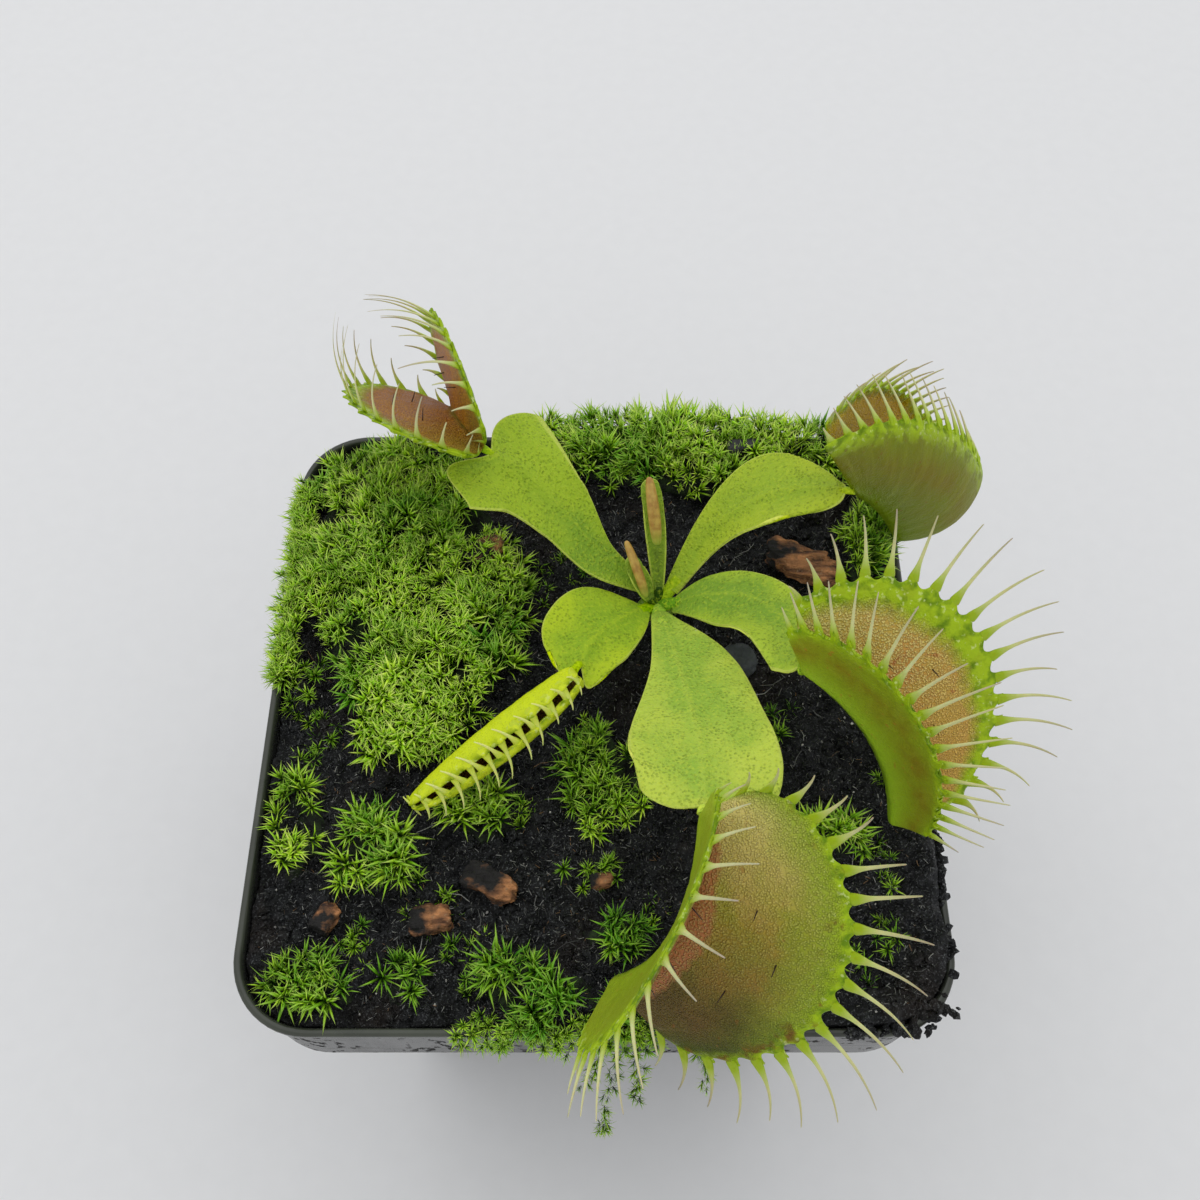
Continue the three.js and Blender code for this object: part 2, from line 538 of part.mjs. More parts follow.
function chipSolid({ at, size, turn, high }, random, grow) {
  const box = new THREE.BoxGeometry(1, 1, 1, 3, 2, 2);
  box.deleteAttribute('normal');
  box.deleteAttribute('uv');
  const chip = mergeVertices(box);
  const corners = chip.attributes.position;
  for (let i = 0; i < corners.count; i += 1) {
    const corner = new THREE.Vector3().fromBufferAttribute(corners, i);
    corner.multiplyScalar((0.86 / Math.max(0.62, corner.length())) * (0.78 + 0.3 * random()));
    corners.setXYZ(i, corner.x * (size[0] + grow), corner.y * (size[1] + grow), corner.z * (size[2] + grow));
  }
  chip.rotateZ(radians(turn));
  chip.translate(...at, peatHeight(...at) + high);
  return solidOf(chip);
}
const peatCutter = peatBody(GAP, 0.5 * GAP);
const potCutter = buildPot(GAP);
const seated = (solid) => largest(solid.subtract(peatCutter).subtract(potCutter));
const chipCutters = Object.values(CHIPS).map((chip, k) => chipSolid(chip, seededRandom(11 + k), 3 * GAP));
Object.entries(CHIPS).forEach(([name, chip], k) => {
  addPiece(name, seated(chipSolid(chip, seededRandom(11 + k), 0)), COLOURS[chip.colour]);
});

// ---------------------------------------------------------------- moss
// Each cushion: centre, half sizes, turn in degrees, thickness, wobble of its outline. The large one has a
// bay, so edges gives its reach in mm every 30 degrees from +X instead of the wobble.
const MOSS = {
  left: {
    at: [-27, 17], size: [1, 1], turn: 0, thick: 6,
    edges: [16.5, 17, 20, 25.6, 26.4, 19, 16.8, 14.6, 16.5, 26.5, 21.6, 18],
  },
  left_edge: { at: [-39.8, -17.5], size: [3.4, 7.6], turn: 8, thick: 3.2, wobble: 0.16 },
  left_inner: { at: [-29, -21.4], size: [5.2, 6.2], turn: 20, thick: 3.4, wobble: 0.18 },
  left_tuft: { at: [-14.5, -16], size: [6, 4], turn: -12, thick: 3, wobble: 0.16 },
  back: { at: [17, 41.2], size: [25.5, 6.3], turn: -4, thick: 6, wobble: 0.12 },
  back_right: { at: [40.5, 26.5], size: [4, 8], turn: -4, thick: 5, wobble: 0.14 },
  front_left: { at: [-35.5, -38.5], size: [5.5, 4], turn: 0, thick: 3.2, wobble: 0.16 },
  front_inner: { at: [-24, -38.5], size: [3, 3.6], turn: 10, thick: 3, wobble: 0.15 },
  front: { at: [-6, -40.2], size: [10.5, 4.6], turn: -14, thick: 4.5, wobble: 0.14 },
  centre: { at: [1.5, -11.5], size: [5.4, 8.2], turn: 12, thick: 3.6, wobble: 0.16 },
  centre_tuft: { at: [2.5, -33], size: [3.8, 2.8], turn: -10, thick: 3, wobble: 0.14 },
  right_tuft: { at: [30.5, -20.5], size: [6, 2.8], turn: -16, thick: 2.8, wobble: 0.16 },
};

// How far a cushion's outline reaches at angle a, as a share of its half sizes.
function mossEdge({ wobble, edges }, phase, a) {
  if (edges) return through([...edges, edges[0]], a / (2 * Math.PI));
  return 1 + wobble * (Math.sin(3 * a + phase) + 0.6 * Math.sin(5 * a + 2.1 * phase));
}

function mossRaw(cushion, phase) {
  const { at, size, turn, thick } = cushion;
  const big = thick > 5.5;
  const [around, shares] = big ? [28, [1, 0.9, 0.72, 0.52, 0.3]] : [14, [1, 0.86, 0.5]];
  const angle = radians(turn);
  const ring = (share, height) => Array.from({ length: around }, (_, k) => {
    const a = 2 * Math.PI * k / around;
    const edge = mossEdge(cushion, phase, a);
    const [px, py] = [share * edge * size[0] * Math.cos(a), share * edge * size[1] * Math.sin(a)];
    const x = at[0] + px * Math.cos(angle) - py * Math.sin(angle);
    const y = at[1] + px * Math.sin(angle) + py * Math.cos(angle);
    return [x, y, height(x, y)];
  });
  const crest = (share) => (x, y) => peatHeight(x, y) + thick * Math.sqrt(1 - (0.94 * share) ** 4)
    + 0.45 * Math.sin(1.1 * x + phase) * Math.sin(1.2 * y);
  const under = peatHeight(...at) - 2.5;
  const rings = [ring(0.6, () => under), ring(1, () => under + 1.6), ...shares.map((s) => ring(s, crest(s)))];
  return ringsSolid(rings, [...at, under], [...at, crest(0)(...at)]);
}

Object.entries(MOSS).forEach(([name, cushion], k) => {
  const cushionSolid = chipCutters.reduce((body, chip) => body.subtract(chip), mossRaw(cushion, 1.7 * k));
  addPiece(`moss_${name}`, seated(cushionSolid), COLOURS.moss);
});

export default plant;
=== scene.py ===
# %% [markdown]
# # A Venus flytrap in its nursery pot
# This notebook dresses a small potted plant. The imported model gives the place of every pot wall, leaf and
# trap, and each cell below grows a finer piece in the same place: leaves with thin edges, traps with
# toothed rims, moss made of single shoots, and peat made of crumbs. Lengths in the shape functions are
# millimetres, as a gardener would measure them, and become metres when a mesh is made.

import bpy
import numpy as np
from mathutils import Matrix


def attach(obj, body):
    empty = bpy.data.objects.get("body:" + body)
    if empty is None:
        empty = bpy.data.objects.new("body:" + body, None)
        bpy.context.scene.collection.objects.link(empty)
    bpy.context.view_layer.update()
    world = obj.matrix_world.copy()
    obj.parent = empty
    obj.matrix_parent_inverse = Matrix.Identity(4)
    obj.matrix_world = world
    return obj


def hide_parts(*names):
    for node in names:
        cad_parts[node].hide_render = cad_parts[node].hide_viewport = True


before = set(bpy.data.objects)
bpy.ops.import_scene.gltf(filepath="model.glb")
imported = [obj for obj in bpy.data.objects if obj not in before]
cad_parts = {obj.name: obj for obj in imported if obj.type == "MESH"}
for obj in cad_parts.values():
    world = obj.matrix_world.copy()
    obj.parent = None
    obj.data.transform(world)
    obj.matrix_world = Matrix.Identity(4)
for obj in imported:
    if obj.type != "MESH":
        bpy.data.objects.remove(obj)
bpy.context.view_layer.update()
MM = 0.001


def add(name, data):
    """A new object, linked to the scene."""
    thing = bpy.data.objects.new(name, data)
    bpy.context.scene.collection.objects.link(thing)
    return thing


print("nodes in the frame:", len(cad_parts))

# %% [markdown]
# ## Curves and noise
# Every plant shape here is a smooth function of two numbers, so a few helpers on whole arrays come first:
# an easing step, turns, a spline through evenly spaced values, and soft noise that is the same on each run.


# %% Curves
def ease(x):
    """0 below 0 and 1 above 1, with three x squared less two x cubed between them."""
    x = np.clip(x, 0, 1)
    return x * x * (3 - 2 * x)


def unit(vectors):
    """Each vector divided by its length."""
    return vectors / np.maximum(np.linalg.norm(vectors, axis=-1, keepdims=True), 1e-12)


def turns(count):
    """Even angles round a full circle."""
    return 2 * np.pi * np.arange(count) / count


def turned_by(degrees, x, y):
    """x and y turned about the origin: x cos - y sin and x sin + y cos."""
    c, s = np.cos(np.radians(degrees)), np.sin(np.radians(degrees))
    return x * c - y * s, x * s + y * c


def circle(side, other, count):
    """For each pair of directions a ring of points: side times the cosine of even turns, plus other times
    the sine."""
    turn = turns(count)[:, None]
    return side[..., None, :] * np.cos(turn) + other[..., None, :] * np.sin(turn)


def lift(amount, direction):
    """A direction for each amount, that many millimetres long."""
    return amount[..., None] * direction


def through(values, u):
    """Catmull-Rom: a cubic between two values, whose slope at each is half the gap of its neighbours."""
    values = np.asarray(values, float)
    last = len(values) - 1
    at = np.clip(u, 0, 1) * last
    i = np.minimum(np.floor(at).astype(int), last - 1)
    f = (at - i)[..., None] if values.ndim > 1 else at - i
    padded = np.concatenate([2 * values[:1] - values[1:2], values, 2 * values[-1:] - values[-2:-1]])
    a, b, c, d = (padded[i + k] for k in range(4))
    return 0.5 * (2 * b + (c - a) * f + (2 * a - 5 * b + 4 * c - d) * f**2
                  + (3 * b - a - 3 * c + d) * f**3)


# %% Noise
def lattice(cell, seed):
    """A repeatable random number for each lattice corner: the fraction of a large sine."""
    mixed = np.sin(cell @ np.array([127.1, 311.7, 74.7]) + 53.3 * seed) * 43758.5453
    return mixed - np.floor(mixed)


def noise(points, size, seed=0):
    """Soft noise from -1 to 1: lattice values at the corners of cells of that size, blended with ease."""
    cell = np.asarray(points, float) / size
    base = np.floor(cell)
    part = ease(cell - base)
    total = 0
    for corner in range(8):
        step = np.array([corner & 1, corner >> 1 & 1, corner >> 2 & 1])
        weight = np.prod(np.where(step, part, 1 - part), axis=-1)
        total = total + weight * lattice(base + step, seed)
    return 2 * total - 1


def rough(points, size, octaves, seed=0):
    """Noise at several sizes, each half as large and half as strong as the one before."""
    return sum(noise(points, size / 2**k, seed + k) / 2**k for k in range(octaves))


def flat3(x, y):
    """Points of a level plane, for noise that only depends on x and y."""
    x, y = np.broadcast_arrays(x, y)
    return np.stack([x, y, 0 * x], -1)


# %% [markdown]
# ## Two kinds of skin
# A tube is a stack of rings with a fan over each end: stems, teeth, shoots, crumbs and the pot itself are
# all tubes. A sheet is a stack of flat rings, front and back of one leaf, zipped shut at both ends. Both
# are closed bodies, so they bake and print without holes.


# %% Faces of tubes and sheets
def ring_strips(rows, around, first):
    """Two triangles for each step between neighbouring rings, whose corners are numbered from first."""
    ring = np.arange(around)
    after = (ring + 1) % around
    row = first + around * np.arange(rows - 1)[:, None]
    halves = [[row + ring, row + after, row + around + after],
              [row + ring, row + around + after, row + around + ring]]
    return np.concatenate([np.stack(half, -1).reshape(-1, 3) for half in halves])


def tube_faces(rows, around):
    """Ring strips with a fan at each end: corner 0 is one end's middle, and the last corner the other's."""
    ring = np.arange(around)
    after = (ring + 1) % around
    top = 1 + around * (rows - 1)
    fans = [np.stack([0 * ring, 1 + after, 1 + ring], -1),
            np.stack([top + ring, top + after, 0 * ring + top + around], -1)]
    return np.concatenate([*fans, ring_strips(rows, around, 1)])


def sheet_faces(rows, columns):
    """Ring strips whose end rings are zipped: corner j on the front meets the one opposite it on the back."""
    around = 2 * columns
    j = np.arange(columns)
    opposite, beside = (around - j) % around, around - j - 1
    zipped = np.concatenate([np.stack([j, j + 1, beside], -1)[:-1], np.stack([j, beside, opposite], -1)[1:]])
    end = around * (rows - 1)
    return np.concatenate([zipped[:, ::-1], zipped + end, ring_strips(rows, around, 0)])


def facing_out(points, faces):
    """Faces of each copy, turned where its signed volume, a sum of corner triple products, is negative."""
    corners = points[:, faces]
    volumes = np.einsum("cfi,cfi->c", corners[:, :, 0], np.cross(corners[:, :, 1], corners[:, :, 2]))
    turned = np.where((volumes < 0)[:, None, None], faces[:, ::-1], faces)
    return turned + points.shape[1] * np.arange(len(points))[:, None, None]


# %% Shapes: points, faces and what the finish reads at each point
def tubes(rings, starts, ends, place):
    """Closed tubes, one per copy: rings and place have the shape (copies, rows, around, 3)."""
    copies, rows, around, _ = rings.shape
    points = np.concatenate([starts[:, None], rings.reshape(copies, -1, 3), ends[:, None]], 1)
    faces = facing_out(points, tube_faces(rows, around))
    place = np.broadcast_to(place, rings.shape)
    place = np.concatenate([place[:, 0].mean(1, keepdims=True), place.reshape(copies, -1, 3),
                            place[:, -1].mean(1, keepdims=True)], 1)
    return points.reshape(-1, 3), faces.reshape(-1, 3), place.reshape(-1, 3)


def sheet(middle, half, place):
    """A closed leaf: its front and back stand half off the middle grid, along the grid's normal."""
    along, across = np.gradient(middle, axis=0), np.gradient(middle, axis=1)
    normal = unit(np.cross(along, across))
    front, back = middle + half[..., None] * normal, middle - half[..., None] * normal
    points = np.concatenate([front, back[:, -2:0:-1]], 1)
    side = np.concatenate([np.ones(front.shape[1]), -np.ones(front.shape[1] - 2)])
    side[0] = side[front.shape[1] - 1] = 0
    place = np.concatenate([place, place[:, -2:0:-1]], 1)
    place = np.concatenate([place, np.broadcast_to(side[:, None], (*place.shape[:2], 1))], 2)
    rows, around, _ = points.shape
    points = points.reshape(1, -1, 3)
    faces = facing_out(points, sheet_faces(rows, around // 2))
    return points[0], faces[0], place.reshape(-1, place.shape[-1])


def together(*shapes):
    """Several shapes as one."""
    points, faces, place = zip(*shapes)
    first = np.cumsum([0] + [len(p) for p in points[:-1]])
    return (np.concatenate(points), np.concatenate([f + n for f, n in zip(faces, first)]),
            np.concatenate(place))


# %% [markdown]
# ## From arrays to a piece
# `make` puts a shape into a mesh, gives it its finish, hangs the piece on the body it rides on, and hides
# the plain solid it stands for. The `place` attribute says where on the leaf, tooth or shoot each point
# lies, so colour can follow growth and not just position in space.


# %% Make a piece
def make(name, shape, finish, stands_for=(), smooth=True):
    """A mesh object in metres, with its place attribute, riding on the one body."""
    points, faces, place = shape
    mesh = bpy.data.meshes.new(name)
    mesh.from_pydata((points * MM).tolist(), [], faces.tolist())
    mesh.polygons.foreach_set("use_smooth", np.full(len(mesh.polygons), smooth))
    layer = mesh.attributes.new("place", "FLOAT_VECTOR", "POINT")
    layer.data.foreach_set("vector", np.ascontiguousarray(place, np.float32).ravel())
    mesh.materials.append(finish)
    mesh.update()
    piece = add(name, mesh)
    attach(piece, "root")
    if stands_for:
        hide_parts(*stands_for)
    print(f"{name}: {len(faces)} faces")
    return piece


# %% [markdown]
# ## Shader arithmetic
# A finish is easier to read as arithmetic than as a web of nodes. `Value` wraps a socket, so that `0.3 +
# 0.7 * grain` adds the Math nodes it needs, and `Finish.node` makes any other node in one line.


# %% Values in a shader
class Value:
    """One output socket of a finish, with + - * and ** that add Math nodes."""

    def __init__(self, finish, socket):
        self.finish, self.socket = finish, socket

    def maths(self, operation, *others, clamp=False):
        """One Math node with this value and the others as its inputs."""
        settings = {"operation": operation, "use_clamp": clamp}
        return self.finish.node("ShaderNodeMath", settings, dict(enumerate([self, *others])))

    def __add__(self, other):
        return self.maths("ADD", other)

    def __sub__(self, other):
        return self.maths("SUBTRACT", other)

    def __rsub__(self, other):
        return (-1 * self).maths("ADD", other)

    def __mul__(self, other):
        return self.maths("MULTIPLY", other)

    def __pow__(self, other):
        return self.maths("POWER", other)

    __radd__, __rmul__ = __add__, __mul__

    def between(self, low, high):
        """0 below low, 1 above high, and an even rise between them."""
        return ((self - low) * (1 / (high - low))).maths("ADD", 0, clamp=True)

    def near(self, centre, width):
        """1 where the value equals centre, falling to 0 at a distance of width."""
        return (1 - (self - centre).maths("ABSOLUTE") * (1 / width)).maths("MAXIMUM", 0)


# %% A finish
class Finish:
    """A material with one Principled shader. Fixed numbers go straight onto its sockets."""

    def __init__(self, name, **fixed):
        self.material = bpy.data.materials.new(name)
        self.material.use_nodes = True
        self.tree = self.material.node_tree
        self.shader = self.tree.nodes["Principled BSDF"]
        for socket, number in fixed.items():
            self.shader.inputs[socket.replace("_", " ")].default_value = number

    def node(self, kind, settings, inputs, output=0):
        """Any node: its settings first, then a number, colour or link for each named input socket."""
        node = self.tree.nodes.new(kind)
        for name, setting in settings.items():
            setattr(node, name, setting)
        for socket, value in inputs.items():
            self.feed(node.inputs[socket], value)
        return Value(self, node.outputs[output])

    def feed(self, socket, value):
        """Links a value to a socket, or sets the socket's number or colour."""
        if isinstance(value, Value):
            self.tree.links.new(value.socket, socket)
        elif isinstance(value, tuple) and len(value) == 3 and socket.type == "RGBA":
            socket.default_value = (*value, 1)
        else:
            socket.default_value = value

    def set(self, **values):
        """Feeds the shader's own sockets."""
        for socket, value in values.items():
            self.feed(self.shader.inputs[socket.replace("_", " ")], value)

    def where(self):
        """The point in metres, which for every piece here is its place in the pot."""
        return self.node("ShaderNodeTexCoord", {}, {}, "Object")

    def stretched(self, scale, degrees=0):
        """The point turned about Z and scaled along each axis, for grain that runs one way."""
        inputs = {"Vector": self.where(), "Rotation": (0, 0, np.radians(degrees)), "Scale": scale}
        return self.node("ShaderNodeMapping", {}, inputs)

    def place(self):
        """The three numbers that the piece carries at each point."""
        vector = self.node("ShaderNodeAttribute", {"attribute_name": "place"}, {}, "Vector")
        return [self.node("ShaderNodeSeparateXYZ", {}, {0: vector}, axis) for axis in "XYZ"]

    def noise(self, size, detail=3.0, along=None):
        """Noise with cells of size metres, stretched where along gives another vector to read."""
        vector = along or self.where()
        return self.node("ShaderNodeTexNoise", {}, {"Vector": vector, "Scale": 1 / size, "Detail": detail})

    def cells(self, size):
        """Distance to the nearest of many scattered points, about size metres apart."""
        return self.node("ShaderNodeTexVoronoi", {}, {"Vector": self.where(), "Scale": 1 / size})

    def height(self):
        """How high in the pot a point lies, in metres."""
        return self.node("ShaderNodeSeparateXYZ", {}, {0: self.where()}, "Z")

    def mix(self, factor, first, second):
        """A colour between two."""
        settings = {"data_type": "RGBA", "clamp_factor": True}
        return self.node("ShaderNodeMix", settings, {0: factor, 6: first, 7: second}, 2)

    def coats(self, base, *coats):
        """A base colour with more colours laid over it in turn, each after its factor."""
        for factor, colour in coats:
            base = self.mix(factor, base, colour)
        return base

    def bump(self, height, depth):
        """Normals bent as if the surface rose by depth metres where height is 1."""
        inputs = {"Height": height, "Distance": depth, "Strength": 1.0}
        self.set(Normal=self.node("ShaderNodeBump", {}, inputs))


# %% [markdown]
# ## The camera
# The square rim fixes the view: the photograph looks down at about sixty degrees, from some seventeen
# centimetres off the rim's middle, with a fairly wide lens. The camera is placed first, because everything
# after it is judged through it.

# %% Camera
CAMERA_PLACE = (0.73, -72.31, 235.41)
CAMERA_PITCH = np.radians(60.54)          # how far it looks down from level
FOCAL_SHARE = 1233 / 1200                 # focal length as a share of the picture's width
SENSOR = 36.0

camera_data = bpy.data.cameras.new("camera")
camera_data.sensor_width = SENSOR
camera_data.lens = SENSOR * FOCAL_SHARE
camera_data.clip_start = 0.005
camera = add("camera", camera_data)
camera.location = [MM * value for value in CAMERA_PLACE]
camera.rotation_euler = (np.pi / 2 - CAMERA_PITCH, 0, 0)
bpy.context.scene.camera = camera
bpy.context.scene.view_settings.view_transform = "Standard"
print("lens", round(camera_data.lens, 2), "mm")

# %% [markdown]
# ## Floor and light
# The plant stands in soft daylight. A wide pale floor, an even sky and one large lamp above, behind and a
# little to the left give it the same gentle shade in front of the pot and to its right.

# %% Floor and light
FLOOR_HALF = 3000.0
LAMP_PLACE = (-170, 300, 1000)
LAMP_SIZE = 1.1                           # metres
LAMP_POWER = 2.1                          # watts
SKY = (0.8, 0.81, 0.82)
SKY_STRENGTH = 0.945

matt = Finish("pale_floor", Roughness=0.9)
matt.set(Base_Color=matt.mix(matt.noise(0.004), (0.8, 0.8, 0.805), (0.835, 0.835, 0.84)))
corners = np.array([[-1, -1, 0], [1, -1, 0], [1, 1, 0], [-1, 1, 0]]) * FLOOR_HALF - [0, 0, 0.2]
floor_mesh = bpy.data.meshes.new("floor")
floor_mesh.from_pydata((corners * MM).tolist(), [], [[0, 1, 2, 3]])
floor_mesh.materials.append(matt.material)
floor = add("floor", floor_mesh)

world = bpy.data.worlds.new("sky")
world.use_nodes = True
sky_light = world.node_tree.nodes["Background"].inputs
sky_light["Color"].default_value = (*SKY, 1)
sky_light["Strength"].default_value = SKY_STRENGTH
bpy.context.scene.world = world

lamp_data = bpy.data.lights.new("lamp", "AREA")
lamp_data.shape, lamp_data.size, lamp_data.energy = "SQUARE", LAMP_SIZE, LAMP_POWER
lamp = add("lamp", lamp_data)
lamp.location = [MM * value for value in LAMP_PLACE]
lamp.rotation_euler = (-lamp.location).to_track_quat("-Z", "Y").to_euler()
print("lamp at", LAMP_PLACE, "mm")

# %% [markdown]
# ## The pot
# A square nursery pot is thin black plastic: a tapering body, a step out to an upright skirt, and a lip.
# Its skin is one profile carried round a rounded square. The profile runs up the outside, over the lip and
# down the inside, and each of its corners is softened into a small round.

# %% Pot sizes
POT_SIDE = 90
POT_HEIGHT = 80
POT_CORNER = 10
SKIRT_BOTTOM = 64.5
FOOT_SIDE = 66
BODY_TOP_SIDE = 85.4
WALL = 1.1
POT_FLOOR = 1.6
SLOT_FROM, SLOT_TO, SLOT_WIDTH = 15.5, 26.5, 3.4

POT_PROFILE = np.array([                  # side, corner radius, height
    [FOOT_SIDE - 4, 6, 0], [FOOT_SIDE, 7, 0], [BODY_TOP_SIDE, 8, SKIRT_BOTTOM],
    [POT_SIDE - 1.2, POT_CORNER, SKIRT_BOTTOM + 0.05], [POT_SIDE - 0.8, POT_CORNER, 78.4],
    [POT_SIDE, POT_CORNER, 78.8], [POT_SIDE, POT_CORNER, 79.7], [POT_SIDE - 0.7, POT_CORNER, POT_HEIGHT],
    [POT_SIDE - 1.9, 9.2, POT_HEIGHT - 0.1], [POT_SIDE - 2.5, 9.0, 78.6], [POT_SIDE - 3.0, 8.9, 66.5],
    [BODY_TOP_SIDE - 2 * WALL, 6.9, 63.5], [FOOT_SIDE - 2 * WALL, 5.9, POT_FLOOR],
    [FOOT_SIDE - 6, 5, POT_FLOOR]])


# %% Pot surface
def softened(profile, size):
    """Each corner between the ends becomes a quadratic curve, which starts and ends at most size away from
    it, with one more point just beyond each end to hold the flat parts flat."""
    rounded = [profile[:1]]
    for before, corner, after in zip(profile[:-2], profile[1:-1], profile[2:]):
        back = (before - corner) * min(0.4, size / np.linalg.norm(before - corner))
        ahead = (after - corner) * min(0.4, size / np.linalg.norm(after - corner))
        t = np.linspace(0, 1, 5)[:, None]
        arc = corner + (1 - t) ** 2 * back + t**2 * ahead
        rounded += [corner + [1.2 * back], arc, corner + [1.2 * ahead]]
    return np.concatenate([*rounded, profile[-1:]])


def rounded_square(side, corner):
    """A square ring with quarter-circle corners, and three points near the ends and middle of each side."""
    side, corner = np.asarray(side)[..., None], np.asarray(corner)[..., None]
    inset = side / 2 - corner
    angle = np.linspace(0, np.pi / 2, 14)
    sides = []
    for quarter in range(4):
        c, s = round(np.cos(quarter * np.pi / 2)), round(np.sin(quarter * np.pi / 2))
        x, y = inset + corner * np.cos(angle), inset + corner * np.sin(angle)
        share = np.array([0.02, 0.5, 0.98])
        x = np.concatenate([x, inset * (1 - 2 * share)], -1)
        y = np.concatenate([y, side / 2 + 0 * share], -1)
        sides.append(np.stack([c * x - s * y, s * x + c * y], -1))
    return np.concatenate(sides, -2)


profile = softened(POT_PROFILE, 0.8)
ring = rounded_square(profile[:, 0], profile[:, 1])
rings = np.concatenate([ring, np.broadcast_to(profile[:, None, 2:], (*ring.shape[:2], 1))], -1)
pot_shape = tubes(rings[None], np.zeros((1, 3)), np.array([[0, 0, POT_FLOOR]]), np.zeros(3))
print("points in the pot's profile:", len(profile))

# %% [markdown]
# Black plastic in a greenhouse is never clean. Seen at a flat angle the skirt mirrors the pale floor, so
# peat crumbs and drip marks show on it as black specks. The top of the lip is paler and greener.

# %% Pot finish
plastic = Finish("black_plastic", IOR=1.46)
grime = plastic.noise(0.006, 6)
height = plastic.height()
# the specks are thick on the skirt, thin on the body below it, and absent from the lip
on_skirt = (1 - height.between(0.0775, 0.0785)) * (0.12 + 0.88 * height.between(0.064, 0.0655))
splash = plastic.noise(0.001, 4, plastic.stretched((1, 1, 0.6))).between(0.57, 0.6)
specks = splash * plastic.noise(0.007, 3).between(0.42, 0.55) * on_skirt
drips = plastic.noise(0.05, 4, plastic.stretched((9, 9, 1.2))).between(0.5, 0.75)
scratches = plastic.noise(0.02, 2, plastic.stretched((1, 1, 24))).between(0.62, 0.66)
film = plastic.mix(grime.between(0.35, 0.75), (0.006, 0.0065, 0.007), (0.018, 0.018, 0.017))
# the top of the lip, paler and greener
film = plastic.mix(height.between(0.0787, 0.0797) * grime, film, (0.075, 0.085, 0.06))
plastic.set(Base_Color=plastic.mix(specks, film, (0.006, 0.005, 0.004)),
            Roughness=0.15 + 0.16 * grime + 0.75 * specks + 0.1 * drips)
plastic.bump(0.6 * specks + 0.15 * grime + 0.1 * scratches, 0.0003)

# %% Pot piece, with drain slots cut through its floor
pot = make("pot_shell", pot_shape, plastic.material, ["pot"])
angle = (22.5 + 45 * np.arange(8))[:, None, None]
along = np.array([SLOT_FROM, SLOT_TO, SLOT_TO, SLOT_FROM])
x, y = turned_by(angle, along, np.array([-1, -1, 1, 1]) * SLOT_WIDTH / 2)
z = np.array([-3.0, 5.0])[:, None] + 0 * x
slot_rings = np.stack([x + 0 * z, y + 0 * z, z], -1)
middles = slot_rings.mean(2)
slot_shape = tubes(slot_rings, middles[:, 0], middles[:, 1], np.zeros(3))
cutter = make("slot_cutter", slot_shape, plastic.material, smooth=False)
cut = pot.modifiers.new("drain_slots", "BOOLEAN")
cut.operation, cut.object, cut.solver = "DIFFERENCE", cutter, "EXACT"
finished = pot.evaluated_get(bpy.context.evaluated_depsgraph_get())
pot.data = bpy.data.meshes.new_from_object(finished)
pot.modifiers.clear()
bpy.data.objects.remove(cutter)
pot.data.set_sharp_from_angle(angle=np.radians(50))
print("pot faces after the slots:", len(pot.data.polygons))

# %% [markdown]
# ## The growing mix
# The mix is peat with bark dust: nearly black when wet, crumbly, with pale fibres and grit glinting in it.
# One closed skin fills the pot, and its top is a height map. Its large shape is the plain solid's: a plane
# that climbs to the right, a mound at the crown and one at the right. Crumbs and flecks are scattered over
# it as separate little bodies, because real crumbs throw real shadows, which bump alone doesn't.

# %% Height of the mix
CROWN = np.array([8.8, 13.6])


def soil_plain(x, y):
    """A slope, a Gaussian mound at the crown and one at the right, and two waves for lumps."""
    slope = 77.6 + 0.028 * x - 0.004 * y
    crown_mound = 2.6 * np.exp(-((x - CROWN[0]) ** 2 + (y - CROWN[1]) ** 2) / 90)
    right_mound = 1.8 * np.exp(-((x - 37) ** 2 + (y + 24) ** 2) / 180)
    lumps = 0.5 * np.sin(0.45 * x + 1.3) * np.sin(0.5 * y) + 0.35 * np.sin(0.9 * x - 0.7 * y + 2)
    return slope + crown_mound + right_mound + lumps


print("mix height at the crown:", round(float(soil_plain(*CROWN)), 1), "mm")


def soil_height(x, y):
    """The plain height with crumbs: soft noise at 4.2 mm, the size of noise at 1.8 mm and finer, which makes
    sharp hollows, and a bank of up to 1.5 mm against the pot's wall."""
    points = flat3(x, y)
    lumps = 0.8 * rough(points, 4.2, 2, 3) + 0.95 * np.abs(rough(points, 1.8, 3, 9))
    bank = 1.5 * ease((np.maximum(np.abs(x), np.abs(y)) - 37) / 6)
    return soil_plain(x, y) + lumps + bank - 0.35


# %% Skin of the mix
SOIL_CELLS = 260
MIX_SIDE = POT_SIDE - 2.7                 # where the mix meets the wall
MIX_FOOT = 2.0


def into_corners(x, y, side, corner):
    """A square grid pressed into a rounded square: past the corner's centre, the longer of the two
    distances becomes the distance along the radius."""
    inset = side / 2 - corner
    dx, dy = np.maximum(np.abs(x) - inset, 0), np.maximum(np.abs(y) - inset, 0)
    shrink = np.where((dx > 0) & (dy > 0), np.maximum(dx, dy) / np.maximum(np.hypot(dx, dy), 1e-9), 1)
    cut = lambda v, d: np.sign(v) * (np.abs(v) - d * (1 - shrink))
    return cut(x, dx), cut(y, dy)


